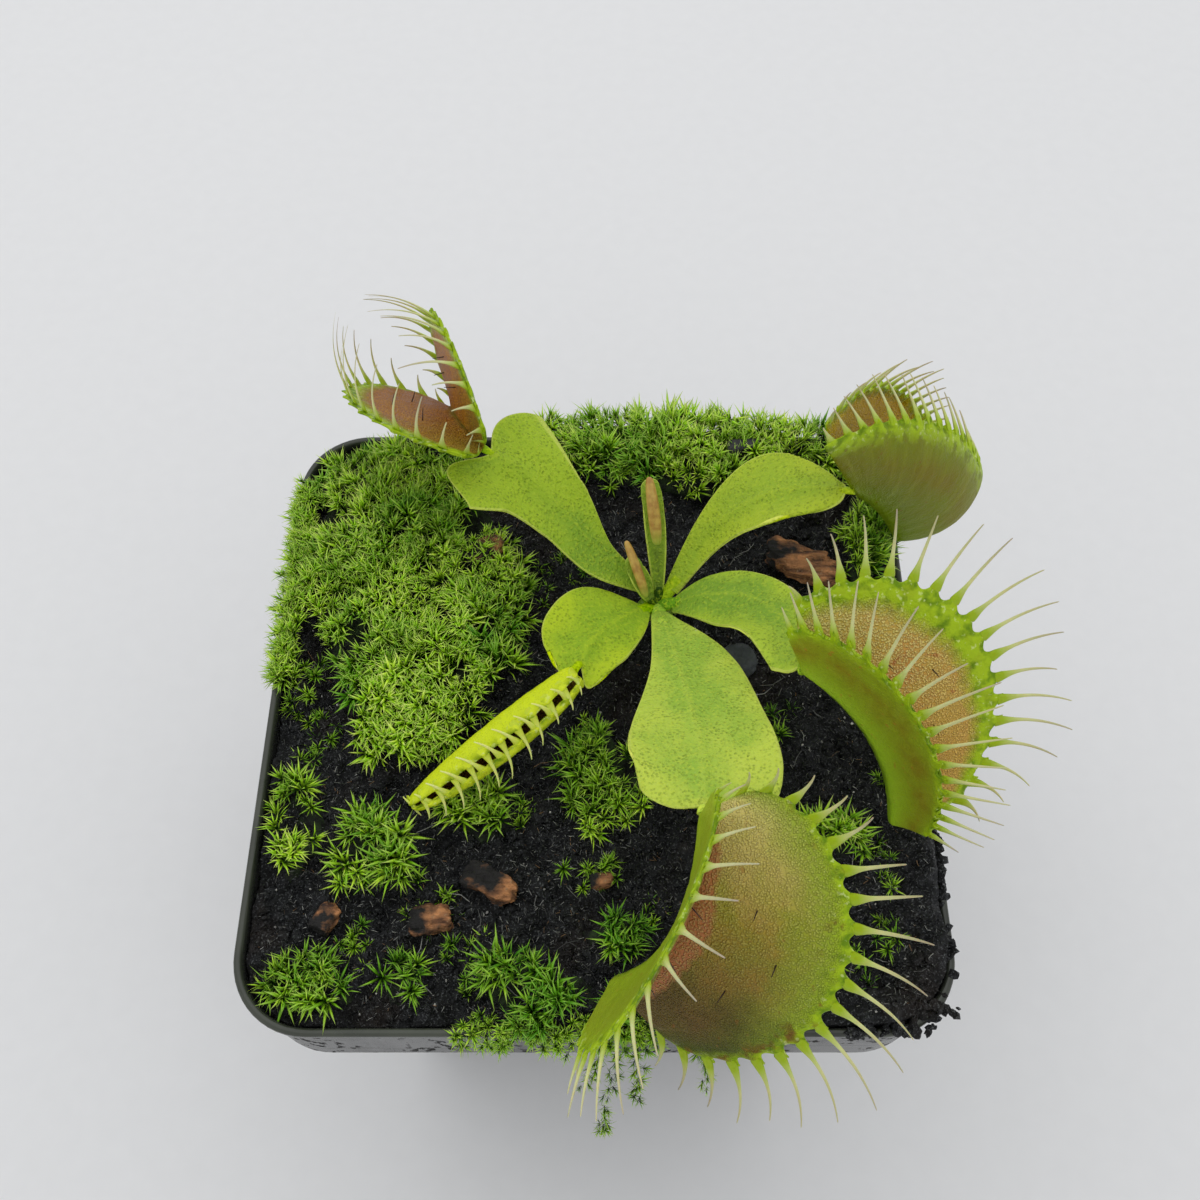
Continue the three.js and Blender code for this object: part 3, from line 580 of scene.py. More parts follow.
def soil_shape():
    """The height map, with its rim carried down the inside of the pot and closed by a fan at the floor."""
    line = np.linspace(-MIX_SIDE / 2, MIX_SIDE / 2, SOIL_CELLS + 1)
    x, y = into_corners(*np.meshgrid(line, line), MIX_SIDE, POT_CORNER - WALL)
    top = np.stack([x, y, soil_height(x, y)], -1).reshape(-1, 3)
    n = SOIL_CELLS + 1
    k = np.arange(SOIL_CELLS)
    a = (k[:, None] * n + k).reshape(-1)
    faces = [np.stack([a, a + 1, a + n + 1], -1), np.stack([a, a + n + 1, a + n], -1)]
    rim = np.concatenate([k, k * n + n - 1, n * n - 1 - k, (n - 1 - k) * n])
    levels = [(0.985, 63), (FOOT_SIDE / MIX_SIDE * 0.955, MIX_FOOT)]     # share of the width, and height
    walls = [np.concatenate([top[rim, :2] * share, np.full((len(rim), 1), z)], 1) for share, z in levels]
    points = np.concatenate([top, *walls, [[0, 0, MIX_FOOT]]])
    ring = np.arange(len(rim))
    after = np.roll(ring, -1)
    upper = rim
    for level in range(len(levels)):
        lower = len(top) + level * len(rim) + ring
        faces += [np.stack([upper, lower, lower[after]], -1),
                  np.stack([upper, lower[after], upper[after]], -1)]
        upper = lower
    faces.append(np.stack([lower, 0 * ring + len(points) - 1, lower[after]], -1))
    return points, np.concatenate(faces), np.zeros_like(points)


# %% Peat finish
def peat_finish(name, dark, light):
    """Near-black crumbs with paler high spots, ash-grey specks, and wet glints where the roughness drops. The
    specks are partly pale fibre and partly painted glints, and the blue tint of the pale spots is a painted
    sheen.
    """
    peat = Finish(name, IOR=1.42)
    crumbs, fine, finest = peat.noise(0.0017, 5), peat.noise(0.0007, 4), peat.noise(0.00028, 3)
    earth = peat.coats(dark, ((crumbs + 0.5 * (fine - 0.5)).between(0.4, 0.66), light),
                       # ash-grey specks, partly real fibre and partly painted glints
                       (finest.between(0.57, 0.66) * 0.8, (0.13, 0.138, 0.142)),
                       (peat.noise(0.009, 3).between(0.56, 0.7) * fine * 0.7, (0.03, 0.018, 0.011)))
    peat.set(Base_Color=earth, Roughness=0.85 - 0.6 * peat.noise(0.0022, 3).between(0.46, 0.62))
    peat.bump(crumbs + 0.8 * fine + 0.45 * finest, 0.0011)
    return peat.material


# the paler colour's blue tint is a painted sheen of the sky
peat_dark = peat_finish("wet_peat", (0.0022, 0.0025, 0.003), (0.0185, 0.0195, 0.0215))
make("mix_surface", soil_shape(), peat_dark, ["growing_mix"])

# %% [markdown]
# Crumbs are small knobbly balls: each has a few rings whose radius is disturbed by noise. Flecks are
# slivers of root and husk that lie on the mix, and it is they that make wet peat look salted. All are
# thrown at seeded random places inside the rim.

# %% Scattering on the mix
random = np.random.default_rng(20)
OPEN_HALF = POT_SIDE / 2 - 2.4            # half the width over which crumbs fall


def on_the_mix(count):
    """Random places inside the rim, with the mix's height at each."""
    x, y = random.uniform(-OPEN_HALF, OPEN_HALF, (2, count))
    x, y = into_corners(x, y, 2 * OPEN_HALF, POT_CORNER - WALL)
    return np.stack([x, y, soil_height(x, y)], -1)


def frames(count):
    """Random directions with two at right angles to each."""
    first = unit(random.normal(size=(count, 3)))
    second = unit(np.cross(first, random.normal(size=(count, 3))))
    return first, second, np.cross(first, second)


# %% Balls and slivers
def balls(centres, radii, rows, around, knobs, seed):
    """Balls squashed at random: rings at even angles from pole to pole, with radii changed by noise."""
    count = len(centres)
    pole, side, other = frames(count)
    angle = np.pi * (np.arange(rows) + 1) / (rows + 1)
    turn = turns(around)
    along, out = np.cos(angle)[:, None] + 0 * turn, np.sin(angle)[:, None] + 0 * turn
    parts = [along, out * np.cos(turn), out * np.sin(turn)]
    squash = random.uniform(0.6, 1.25, (3, count, 1, 1, 1))
    rays = sum(s * part[None, ..., None] * direction[:, None, None]
               for s, part, direction in zip(squash, parts, (pole, side, other)))
    bumps = 1 + knobs * noise(rays * 3 + centres[:, None, None], 1.3, seed)[..., None]
    rings = centres[:, None, None] + rays * (radii[:, None, None, None] * bumps)
    end = squash[0, :, 0, 0] * (radii[:, None] * pole)
    tint = np.broadcast_to(random.random((count, 1, 1, 3)), rings.shape)
    return tubes(rings, centres + end, centres - end, tint)


def slivers(starts, heading, length, radius, bend):
    """Bent needles: three-sided rings along an arc whose middle stands off by bend times its length."""
    count = len(starts)
    side = unit(np.cross(heading, random.normal(size=(count, 3))))
    w = np.array([0.08, 0.5, 0.92])[:, None]
    line = (starts[:, None] + heading[:, None] * (w * length[:, None, None])
            + side[:, None] * (bend * 4 * w * (1 - w) * length[:, None, None]))
    rings = line[:, :, None] + circle(side, np.cross(heading, side), 3)[:, None] * radius[:, None, None, None]
    tint = np.broadcast_to(random.random((count, 1, 1, 3)), rings.shape)
    return tubes(rings, starts, starts + heading * length[:, None], tint)


# %% Crumbs, grit, flecks and root fibres
def level_heading(count, tilt):
    """Directions that lie nearly flat, rising or dipping at random by about that share."""
    angle = random.uniform(0, 2 * np.pi, count)
    return unit(np.stack([np.cos(angle), np.sin(angle), random.normal(0, tilt, count)], -1))


tinted = Finish("grit", Roughness=0.5)
shade = tinted.place()[0]
tinted.set(Base_Color=tinted.mix(shade.between(0.3, 1.0), (0.1, 0.095, 0.09), (0.62, 0.6, 0.56)))
fleck_finish = Finish("husk_flecks", Roughness=0.35)
shade, kind, _ = fleck_finish.place()
grey = fleck_finish.mix(shade.between(0.25, 1.0) ** 2.2, (0.01, 0.01, 0.01), (0.44, 0.44, 0.41))
fleck_finish.set(Base_Color=fleck_finish.mix(kind.between(0.93, 0.96), grey, (0.26, 0.15, 0.07)))

CRUMBS, GRIT = 5200, 600
crumbs = balls(on_the_mix(CRUMBS) + [0, 0, 0.1], 0.12 + 0.75 * random.random(CRUMBS) ** 2.2,
               rows=3, around=6, knobs=0.55, seed=5)
make("peat_crumbs", crumbs, peat_dark, smooth=False)
grit = balls(on_the_mix(GRIT) + [0, 0, 0.25], random.uniform(0.07, 0.2, GRIT),
             rows=2, around=5, knobs=0.3, seed=6)
make("grit", grit, tinted.material, smooth=False)

SLIVERS = {                               # number, height and tilt, ranges of length and radius, and bend
    "husk_flecks": (9000, 0.35, 0.35, (0.2, 1), (0.022, 0.06), 0.06),
    "husk_splinters": (9000, 0.35, 0.75, (0.2, 1), (0.022, 0.06), 0.06),
    "root_fibres": (260, 0.5, 0.16, (1.5, 5), (0.035, 0.07), 0.16)}
for name, (count, high, tilt, lengths, radii, bend) in SLIVERS.items():
    starts, heading = on_the_mix(count) + [0, 0, high], level_heading(count, tilt)
    length, radius = random.uniform(*lengths, count), random.uniform(*radii, count)
    make(name, slivers(starts, heading, length, radius, bend), fleck_finish.material)

# %% Crumbs that spill over the rim
SPILLS = np.array([                       # x, y and spread
    [44.2, -21.8, 3.2], [44, -26, 2.6], [43.6, -15, 3], [37.2, -43.6, 3.4], [41.4, -42, 2.2],
    [33, -44, 3], [43.8, -34, 2.4]])
SPILL_CRUMBS = 45
RIM_HALF = POT_SIDE / 2 - 0.4
middle = np.repeat(SPILLS, SPILL_CRUMBS, axis=0)
spread = random.normal(0, 0.5, (len(middle), 2)) * middle[:, 2:]
x, y = np.clip(middle[:, :2] + spread, -RIM_HALF, RIM_HALF).T
z = POT_HEIGHT + random.uniform(-0.6, 0.7, len(x))
spilt = balls(np.stack([x, y, z], -1), random.uniform(0.2, 0.8, len(x)), rows=3, around=6, knobs=0.55, seed=8)
make("rim_crumbs", spilt, peat_dark, smooth=False)

# %% [markdown]
# ## Bark, charcoal and the stone
# Bark chips lie half sunk in the mix. Each is a box-like ball: its rays are pushed out towards a cube, then
# noise roughens it. Bark splits along its fibres, so its finish stretches the noise along the chip.

# %% Chips
CHIPS = {                                 # centre, full sizes, turn in degrees, height over the mix
    "bark_large": [(30.3, 21.4), (10.5, 4.8, 3), -25, 2.2],
    "bark_back": [(-16.4, 22.4), (6, 3, 2.4), 35, 5.2],
    "bark_middle": [(-13.8, -25.6), (7.4, 3.6, 2.8), -28, 0.9],
    "bark_front": [(-20.9, -30.4), (4.6, 3.6, 2.6), 15, 1],
    "bark_left": [(-34.3, -30.2), (4.2, 3, 2.4), 60, 0.9],
    "bark_small": [(1, -25.4), (2.8, 2, 1.8), 10, 0.6],
    "charcoal": [(22.3, 39.6), (4.6, 2.2, 1.8), 8, 6.6],
    "stone": [(20, 5.6), (5, 4.4, 3.4), 25, 1.2]}
CLEAR_OF_PEAT = {"bark_large": 0.45, "bark_small": 0.5, "bark_front": 0.34, "bark_left": 0.3}


def chip(at, size, turn, high, knobs, ridges, seed):
    """A block with round edges: each ray of a ball is lengthened by the fourth-power norm of its direction,
    scaled to the chip's sizes, turned, and roughened by noise and by ridges along its length."""
    rows, around = 54, 84
    angle = np.pi * (np.arange(rows) + 0.5)[:, None] / rows
    round_it = turns(around)
    ray = np.stack([np.cos(angle) + 0 * round_it, np.sin(angle) * np.cos(round_it),
                    np.sin(angle) * np.sin(round_it)], -1)
    block = ray / (np.abs(ray) ** 4).sum(-1, keepdims=True) ** (1 / 4)
    grain = block * np.array(size) / 2
    bumps = knobs * rough(grain, 2.2, 5, seed) + ridges * rough(grain * [0.25, 1, 1], 0.6, 2, seed + 9)
    local = grain * (1 + bumps[..., None])
    c, s = np.cos(np.radians(turn)), np.sin(np.radians(turn))
    middle = np.array([*at, soil_plain(*at) + high])
    rings = local @ np.array([[c, s, 0], [-s, c, 0], [0, 0, 1]]) + middle
    place = (block + 1) / 2
    return tubes(rings[None], rings[None, 0].mean(1), rings[None, -1].mean(1), place[None])


# %% Finishes of the chips
def bark_finish(turn, clear):
    """Reddish layers with paler fibres along the chip, and black peat over its first end and in patches."""
    bark = Finish(f"bark_{turn}", Roughness=0.75)
    grain = bark.noise(0.0009, 5, bark.stretched((0.22, 1, 1), -turn))
    patch, fine = bark.noise(0.0024, 5), bark.noise(0.0005, 4)
    red = bark.coats((0.045, 0.015, 0.007), (grain.between(0.33, 0.62), (0.6, 0.26, 0.1)),
                     (fine.between(0.58, 0.7) * 0.6, (0.42, 0.26, 0.14)))
    bare = (bark.place()[0] + 2.6 * (patch - 0.5)).between(0.5 - clear, 1.05 - clear)
    bark.set(Base_Color=bark.mix(bare, (0.01, 0.0085, 0.008), red))
    bark.bump(grain + 0.7 * patch + 0.5 * fine, 0.001)
    return bark.material


coal = Finish("charcoal", Roughness=0.45)
coal.set(Base_Color=coal.mix(coal.noise(0.001, 4), (0.006, 0.006, 0.007), (0.03, 0.03, 0.032)))
coal.bump(coal.noise(0.0008, 5), 0.0004)
slate = Finish("damp_stone", Roughness=0.7, Specular_IOR_Level=0.3)
slate.set(Base_Color=slate.mix(slate.noise(0.0012, 5), (0.026, 0.031, 0.034), (0.11, 0.12, 0.125)))
slate.bump(slate.noise(0.001, 5), 0.0004)

for seed, (name, (at, size, turn, high)) in enumerate(CHIPS.items()):
    is_bark = name.startswith("bark")
    if is_bark:
        finish = bark_finish(turn, CLEAR_OF_PEAT.get(name, 0.12))
    else:
        finish = (coal if name == "charcoal" else slate).material
    shape = chip(at, size, turn, high, knobs=0.24, ridges=0.1 if is_bark else 0.03, seed=30 + seed)
    make(f"{name}_piece", shape, finish, [name])

# %% [markdown]
# ## The leaves
# Each leaf of a flytrap is a flat, heart-ended stalk, called a petiole, with a trap on a thin neck. The
# blade is a sheet over a spine: t runs from -1 at its left edge to 1 at its right, and along the spine the
# half widths of the two sides come from a spline. Its last part reaches on past the neck by a sine of t,
# which gives the shoulders, and is drawn back at the corners. The edges rise a little and wave.

# %% Leaf shapes
DROOP = 0.34                              # how much the blade bends down for each mm past the neck
PETIOLES = {                              # in each pair, the first number is the left side's
    "back_left": dict(
        spine=[[7.2, 15.6, 83.4], [1.5, 18.3, 87], [-4, 22.5, 91.5], [-9, 26.5, 95.5], [-14.3, 28.2, 98.3]],
        left=[1.1, 3.6, 4.7, 7.1, 9.1], right=[1.1, 1.8, 4.5, 5.4, 9.7], shoulder=[4.3, 1.1],
        corner=[0.6, 4.9], cup=0.8, wave=0.4),
    "back_right": dict(
        spine=[[10.9, 15.2, 83.4], [15.3, 20.6, 88], [20.1, 22.5, 93], [25.9, 22.8, 97], [33.4, 21, 99.9]],
        left=[1.1, 2.6, 6.2, 7.8, 1.5], right=[1.1, 2.2, 3.4, 5.7, 3.7], shoulder=[0, 0], corner=[2.4, 6],
        cup=0.6, wave=0.3, relax=0.8),
    "right": dict(
        spine=[[11.3, 12.7, 83.6], [15.5, 11.5, 88], [20.5, 9.3, 91.5], [24.4, 3.8, 95.3],
               [25.4, -5.2, 99.7]],
        left=[1.3, 4.4, 5.0, 4.0, 2.5], right=[1.3, 3.7, 6.4, 6.2, 3.5], shoulder=[0, 0.5], corner=[3, 1],
        cup=0.8, wave=0.8, relax=0.8),
    "front": dict(
        spine=[[9.1, 11.0, 83.8], [10.7, -1, 92], [12, -12, 99], [12.4, -19.5, 103.2], [12.1, -25.2, 105.4]],
        left=[1.2, 7.2, 8.6, 9.1, 8.8], right=[1.2, 3.4, 7.4, 8.3, 7.2], shoulder=[0.3, 0.4],
        corner=[3.7, 3.7], cup=0.6, wave=0.4),
    "left": dict(
        spine=[[6.8, 11.9, 83.5], [4.2, 9.2, 86], [1, 6, 88], [-1, 2.8, 89.3], [-1.9, 0.1, 89.8]],
        left=[1.2, 4.0, 5.0, 5.6, 3.9], right=[1.2, 8.6, 7.6, 7.5, 3.9], shoulder=[2.6, 1.7],
        corner=[0.2, 0.2], cup=0.6, wave=0.3, relax=0.8),
    "young_tall": dict(
        spine=[[9.0, 15.0, 83.6], [8.8, 17, 86.2], [8.5, 19.2, 89.6], [8.0, 22, 93.8], [7.4, 24.4, 97.6]],
        left=[0.7, 1.0, 1.3, 1.45, 1.3], right=[0.7, 1.0, 1.3, 1.45, 1.3], shoulder=[0, 0],
        corner=[1.6, 1.6], cup=0.8, wave=0),
    "young_short": dict(
        spine=[[7.8, 13.6, 83.6], [7.1, 14.4, 84.8], [6.3, 15.3, 86.1], [5.5, 16.3, 87.6], [4.8, 17.3, 89]],
        left=[0.7, 1.2, 1.4, 1.3, 1.0], right=[0.7, 1.2, 1.4, 1.3, 1.0], shoulder=[0, 0],
        corner=[1.2, 1.2], cup=0.6, wave=0)}
print("leaves:", len(PETIOLES))


# %% Blade of a leaf
def petiole_middle(leaf, u, t):
    """spine(u) + t·width·side + reach·along + rise·normal, with side level and normal square to both. reach
    grows from u = 0.4 on to shoulder·sin(pi·|t|)^1.5 less corner·(1 - the root of 1 - |t|^3)."""
    step = 0.01
    along = unit(through(leaf["spine"], u + step) - through(leaf["spine"], u - step))
    side = unit(np.cross(along, [0, 0, 1.0]))
    normal = np.cross(side, along)
    half, out = (t > 0).astype(int), np.minimum(np.abs(t), 1)
    width = np.where(half, through(leaf["right"], u), through(leaf["left"], u))
    shoulder = np.array(leaf["shoulder"])[half] * np.sin(np.pi * out) ** 1.5
    drawn_back = np.array(leaf["corner"])[half] * (1 - np.sqrt(1 - out**3))
    reach = ease((u - 0.4) / 0.6) * (shoulder - drawn_back)
    rise = (leaf["cup"] * np.sin(np.pi * u) ** 0.7 * t * t
            + leaf["wave"] * np.sin(2 * np.pi * (1.5 * u + 0.15)) * out**3 * ease(3 * u)
            - DROOP * np.maximum(reach, 0))
    on_spine = through(leaf["spine"], u)
    return on_spine + lift(t * width, side) + lift(reach, along) + lift(rise, normal), width


def relaxed(grid, share):
    """Each row drawn by a share towards halfway between the rows k before and k after it, where k is 8, or
    less near both ends. It irons out a fold where the spine turns sharply."""
    row = np.arange(len(grid))
    k = np.minimum(np.minimum(row, row[::-1]), 8)
    return grid + share * (0.5 * (grid[row - k] + grid[row + k]) - grid)


def petiole(leaf, rows, columns, blade):
    """A sheet half a blade thick each way, thicker along the midrib by a Gaussian, with a fine round edge."""
    u, t = np.meshgrid(np.sin(0.5 * np.pi * np.linspace(0, 1, rows)) ** 1.2,
                       np.sin(0.5 * np.pi * np.linspace(-1, 1, columns + 1)), indexing="ij")
    middle, width = petiole_middle(leaf, u, t)
    for _ in range(4):
        middle = relaxed(middle, (leaf.get("relax", 0) * t**2)[..., None])
    ripple = lift(0.1 * rough(middle, 3.4, 3, 4) * np.abs(t), np.array([0, 0, 1.0]))
    from_rib = np.abs(t) * width
    half = 0.5 * (blade + 0.5 * np.exp(-(from_rib / 0.8) ** 2))
    half = half * (0.25 + 0.75 * np.maximum(1 - t**2, 0) ** 0.3) * (1 - 0.7 * ease((u - 0.96) / 0.04))
    place = np.stack([u, np.maximum(np.abs(t), ease((u - 0.93) / 0.07) * 0.99)], -1)
    return sheet(middle + ripple, half, place)


# %% Stalk
def stalk(start, end, thick, thin, way):
    """A waisted tube between two points, 0.7 as high as it is wide, whose radius runs evenly from thick to
    thin. way is the share of the leaf's length at which it stands."""
    w = np.linspace(0, 1, 9)[:, None]
    along = unit(end - start)
    side = unit(np.cross(along, [0, 0, 1.0]))
    turn = turns(14)
    round_it = lift(np.cos(turn), side) + lift(0.7 * np.sin(turn), np.cross(side, along))
    line = start + (end - start) * w
    rings = line[:, None] + (thick + (thin - thick) * w - 0.1 * np.sin(np.pi * w))[:, None] * round_it
    place = np.broadcast_to(np.array([way, 0.3, 1.0]), rings.shape)
    return tubes(rings[None], start[None], end[None], place[None])


# %% [markdown]
# A leaf lets light through, so a little of it scatters under the skin. Its upper face is yellow-green,
# greener along the middle and in soft patches, with a pale thin rim and fine dark pores. The darker green
# towards the crown is partly painted shade, and a fine grain of pale flecks is painted highlight. The rim
# is found with the second number of `place`, the share of the way out to the edge.

# %% Leaf finish
def leaf_finish(name, green, yellow, gloss=0.2):
    """Green in the middle and towards the base, where it is partly painted shade, yellow at the tip and
    edges, dark pores, and a fine grain of pale flecks that is painted highlight.
    """
    leaf = Finish(name, Subsurface_Weight=0.1, Subsurface_Scale=0.001, IOR=1.4,
                  Subsurface_Radius=(0.7, 1.0, 0.1), Specular_IOR_Level=gloss)
    u, out, face = leaf.place()
    patches, broad, grain = leaf.noise(0.007, 2), leaf.noise(0.016, 2), leaf.noise(0.00045, 4)
    pores, large_pores = leaf.cells(0.00042), leaf.cells(0.0011)
    # greener towards the base, partly as painted shade near the crown
    greener = 1.8 * (patches - 0.5) + 1.6 * (broad - 0.5) + 0.75 * (1 - out) + 0.6 * (1 - u).between(0.1, 0.9)
    stipple = (1 - pores.between(0.15, 0.45)) * (0.4 + 0.6 * leaf.noise(0.003, 2).between(0.35, 0.6))
    holes = (1 - large_pores.between(0.06, 0.13)) * leaf.noise(0.005, 2).between(0.45, 0.6)
    dots = (stipple * 0.7 + holes).maths("MINIMUM", 1)
    nicks = leaf.noise(0.0011, 1).between(0.8, 0.84) * leaf.noise(0.006, 1).between(0.5, 0.6)
    blade = leaf.coats(
        yellow,
        (greener.between(0.25, 0.95), green),
        ((1 - out.between(0.01, 0.09)) * 0.35, yellow),
        # painted highlight: pale flecks over the fine grain
        (grain.between(0.5, 0.66) * 0.55, leaf.mix(0.5, yellow, (0.8, 0.9, 0.04))),
        (dots * 0.78, leaf.mix(0.62, green, (0.04, 0.08, 0.0))),
        (out.between(0.965, 0.98) * 0.85, (0.82, 0.9, 0.16)),
        (nicks * 0.7, (0.75, 0.78, 0.55)))
    under = leaf.mix(0.5, blade, (0.3, 0.42, 0.06))
    leaf.set(Base_Color=leaf.mix(face.between(-0.6, 0.2), under, blade),
             Roughness=0.24 + 0.2 * patches + 0.3 * grain)
    leaf.bump(0.8 * grain + 1.1 * leaf.noise(0.0016, 3) - 0.6 * dots, 0.0003)
    return leaf.material


GREENS = {                                # greener middle and base, yellower tip and edges, and the gloss
    "back_left": [(0.17, 0.37, 0.001), (0.46, 0.66, 0.001)],
    "back_right": [(0.37, 0.56, 0.008), (0.62, 0.76, 0.012)],
    "right": [(0.17, 0.39, 0.014), (0.56, 0.76, 0.03)],
    # the front leaf's pale, bluer greens partly hold a painted sheen
    "front": [(0.38, 0.64, 0.055), (0.84, 0.98, 0.11)],
    "left": [(0.29, 0.52, 0.001), (0.66, 0.84, 0.001), 0.05],
    # the young leaves' dark greens are painted shade deep in the rosette
    "young": [(0.035, 0.085, 0.004), (0.25, 0.4, 0.015)]}
leaf_tints = {name: leaf_finish(f"leaf_{name}", *greens) for name, greens in GREENS.items()}
leaf_tints["young_tall"] = leaf_tints["young_short"] = leaf_tints["young"]
print("leaf finishes:", ", ".join(leaf_tints))

# %% [markdown]
# At the crown every leaf springs from a green sheath, and at the far end of a grown leaf a short neck
# carries the trap. Both are stalks, and they and the blade are one piece.

# %% Leaf pieces
CROWN_POINT = np.array([*CROWN, 81.6])
NECKS = {"back_left": np.array([-15.3, 28.7, 98.8]), "back_right": np.array([34.5, 20.5, 100.5]),
         "right": np.array([25.5, -6, 100.0]), "front": np.array([12, -26, 105.5]),
         "left": np.array([-2.8, -1.2, 90.5])}
for name, leaf in PETIOLES.items():
    young = name.startswith("young")
    rows, columns, thickness = (40, 20, 0.5) if young else (130, 64, 0.7)
    low, high = through(leaf["spine"], np.array([0.06, 0.93]))
    parts = [petiole(leaf, rows, columns, thickness),
             stalk(CROWN_POINT, low, thick=1.25, thin=0.75 if young else 1.0, way=0.0)]
    if not young:
        parts.append(stalk(high, NECKS[name], thick=0.62, thin=0.62, way=1.0))
    make(f"petiole_{name}", together(*parts), leaf_tints[name], [f"leaf_{name}"])

# %% [markdown]
# ## The traps
# A trap is two lobes that meet at a midrib. From each point of the midrib a lobe is an arc: it leaves at
# one angle off the mouth's direction and bends steadily to another, so integrating the angle's cosine and
# sine gives its section. Along the midrib the arcs fan out, and their length swells and falls, which makes
# the round outline. For each trap the table gives the neck, the depth of the bays in its rim, the midrib's
# direction, roll, length and sag, and the share of the reach that is left at its two ends. For each lobe it
# gives the fan at the neck and at the tip, the reach, and the arc's two angles. Last come the teeth: their
# number, lean and sweep at the neck and the tip, and lengths at the neck, the middle and the tip.

# %% Trap shapes
TRAPS = {
    "back_left": dict(
        neck=NECKS["back_left"], cusp=0.8, azimuth=110, elevation=-35, roll=-31, midrib=19.5, sag=-2,
        ends=[0.2, 0.15], fullness=0.45,
        plus=dict(fan=[62, 56], reach=16, open=[37, 28], teeth=[17, 49, 71, -15, -11, 2, 10.2, 2]),
        minus=dict(fan=[71, 61], reach=17, open=[35, 26], teeth=[17, 61, 80, -2, -22, 2, 10.6, 2])),
    "back_right": dict(
        neck=NECKS["back_right"], cusp=1.0, azimuth=16, elevation=-59, roll=-34, midrib=19, sag=-1,
        ends=[0.75, 1], fullness=0.6,
        plus=dict(fan=[87, 7], reach=17.5, open=[67, -35], teeth=[16, 12, 14, 5, -5, 1.9, 8.4, 1.6]),
        minus=dict(fan=[76, 8], reach=19, open=[60, -27], teeth=[16, 25, 25, 5, -5, 1.9, 8.4, 1.6])),
    "right": dict(
        neck=NECKS["right"], cusp=1.8, azimuth=-50, elevation=-37, roll=-34, midrib=23.5, sag=-3.5,
        ends=[0.4, 0.4], fullness=0.75,
        plus=dict(fan=[77, 8], reach=15, open=[23, 40], teeth=[19, 21, 32, -27, 40, 1.8, 9.4, 4.5]),
        minus=dict(fan=[68, 10], reach=20.5, open=[29, 32], teeth=[18, 17, 50, -30, 35, 1.9, 10.2, 3.7])),
    "front": dict(
        neck=NECKS["front"], cusp=1.8, azimuth=-124, elevation=-41, roll=-47, midrib=23.5, sag=-5.5,
        ends=[0.2, 0.35], fullness=0.45,
        plus=dict(fan=[50, 15], reach=19.5, open=[40, 42], teeth=[18, 36, 19, -12, 17, 1, 10.4, 3.2]),
        minus=dict(fan=[59, 15], reach=20, open=[37, 55], teeth=[19, 45, 67, -15, 11, 3, 10.6, 3.6])),
    "left": dict(
        neck=NECKS["left"], cusp=0.7, azimuth=-145, elevation=-18, roll=-46, midrib=27, sag=0.5,
        ends=[0.35, 0.1], fullness=0.5,
        plus=dict(fan=[8, 18], reach=7.2, open=[75, -60], teeth=[12, 34, 34, 0, 10, 2.4, 4.6, 2.2]),
        minus=dict(fan=[8, 18], reach=7.2, open=[75, -60], teeth=[11, 34, 34, 0, 10, 2, 3.6, 1.8]))}
TOOTH_MARGIN = 0.03                       # share of the rim left free at each end of the row of teeth


def lobe_of(trap, side):
    """The numbers of the lobe on one side of the midrib."""
    return trap["plus"] if side > 0 else trap["minus"]


print("teeth in all:", sum(lobe_of(trap, side)["teeth"][0] for trap in TRAPS.values() for side in (-1, 1)))

# %% Surface of a lobe
def trap_axes(trap):
    """Along the midrib, out of the mouth, and across: roll turns the mouth about the midrib."""
    az, el, roll = np.radians([trap["azimuth"], trap["elevation"], trap["roll"]])
    along = np.array([np.cos(el) * np.cos(az), np.cos(el) * np.sin(az), np.sin(el)])
    level = np.array([-np.sin(el) * np.cos(az), -np.sin(el) * np.sin(az), np.cos(el)])
    mouth = level * np.cos(roll) + np.cross(along, level) * np.sin(roll)
    return along, mouth, np.cross(along, mouth)


def lobe_point(trap, side, u, v, grow=0.0):
    """Midrib point at u, plus reach times the arc's run out of the mouth and across, turned by the fan."""
    lobe = lobe_of(trap, side)
    along, mouth, across = trap_axes(trap)
    u, v, grow = np.broadcast_arrays(u, v, grow)
    fan = np.radians(-lobe["fan"][0] + sum(lobe["fan"]) * u)
    at_neck, at_tip = trap["ends"]
    swell = np.sin(np.pi * np.clip(u, 1e-9, 1 - 1e-9)) ** trap["fullness"]
    reach = lobe["reach"] * (at_neck * (1 - u) + at_tip * u + (1 - 0.5 * (at_neck + at_tip)) * swell) + grow
    first, last = np.radians(lobe["open"])
    turn = last - first
    now = first + turn * v
    toward_mouth = (np.sin(now) - np.sin(first)) / turn
    outward = side * (np.cos(first) - np.cos(now)) / turn
    return (trap["neck"] + lift(trap["midrib"] * u + reach * np.sin(fan) * v, along)
            + lift(reach * np.cos(fan) * toward_mouth - trap["sag"] * 4 * u * (1 - u), mouth)
            + lift(reach * np.cos(fan) * outward, across))


# %% Places along the rim
def rim_shares(trap, side):
    """Values of u, and how far along the rim each lies from neck to tip, from 0 to 1, in short chords."""
    u = np.linspace(0, 1, 241)
    rim = lobe_point(trap, side, u, 1.0)
    length = np.concatenate([[0], np.cumsum(np.linalg.norm(np.diff(rim, axis=0), axis=1))])
    return u, length / length[-1]


def tooth_places(trap, side):
    """The u of each tooth: even steps along the rim."""
    count = lobe_of(trap, side)["teeth"][0]
    steps = TOOTH_MARGIN + (1 - 2 * TOOTH_MARGIN) * np.arange(count) / (count - 1)
    u, share = rim_shares(trap, side)
    return np.interp(steps, share, u)


# %% [markdown]
# Between two teeth the rim dips in a round bay, like the wing of a bat between its fingers, so each tooth
# rises from a sharp cusp. The absolute sine of the distance along the rim, to the power 0.75, draws that
# row of bays.

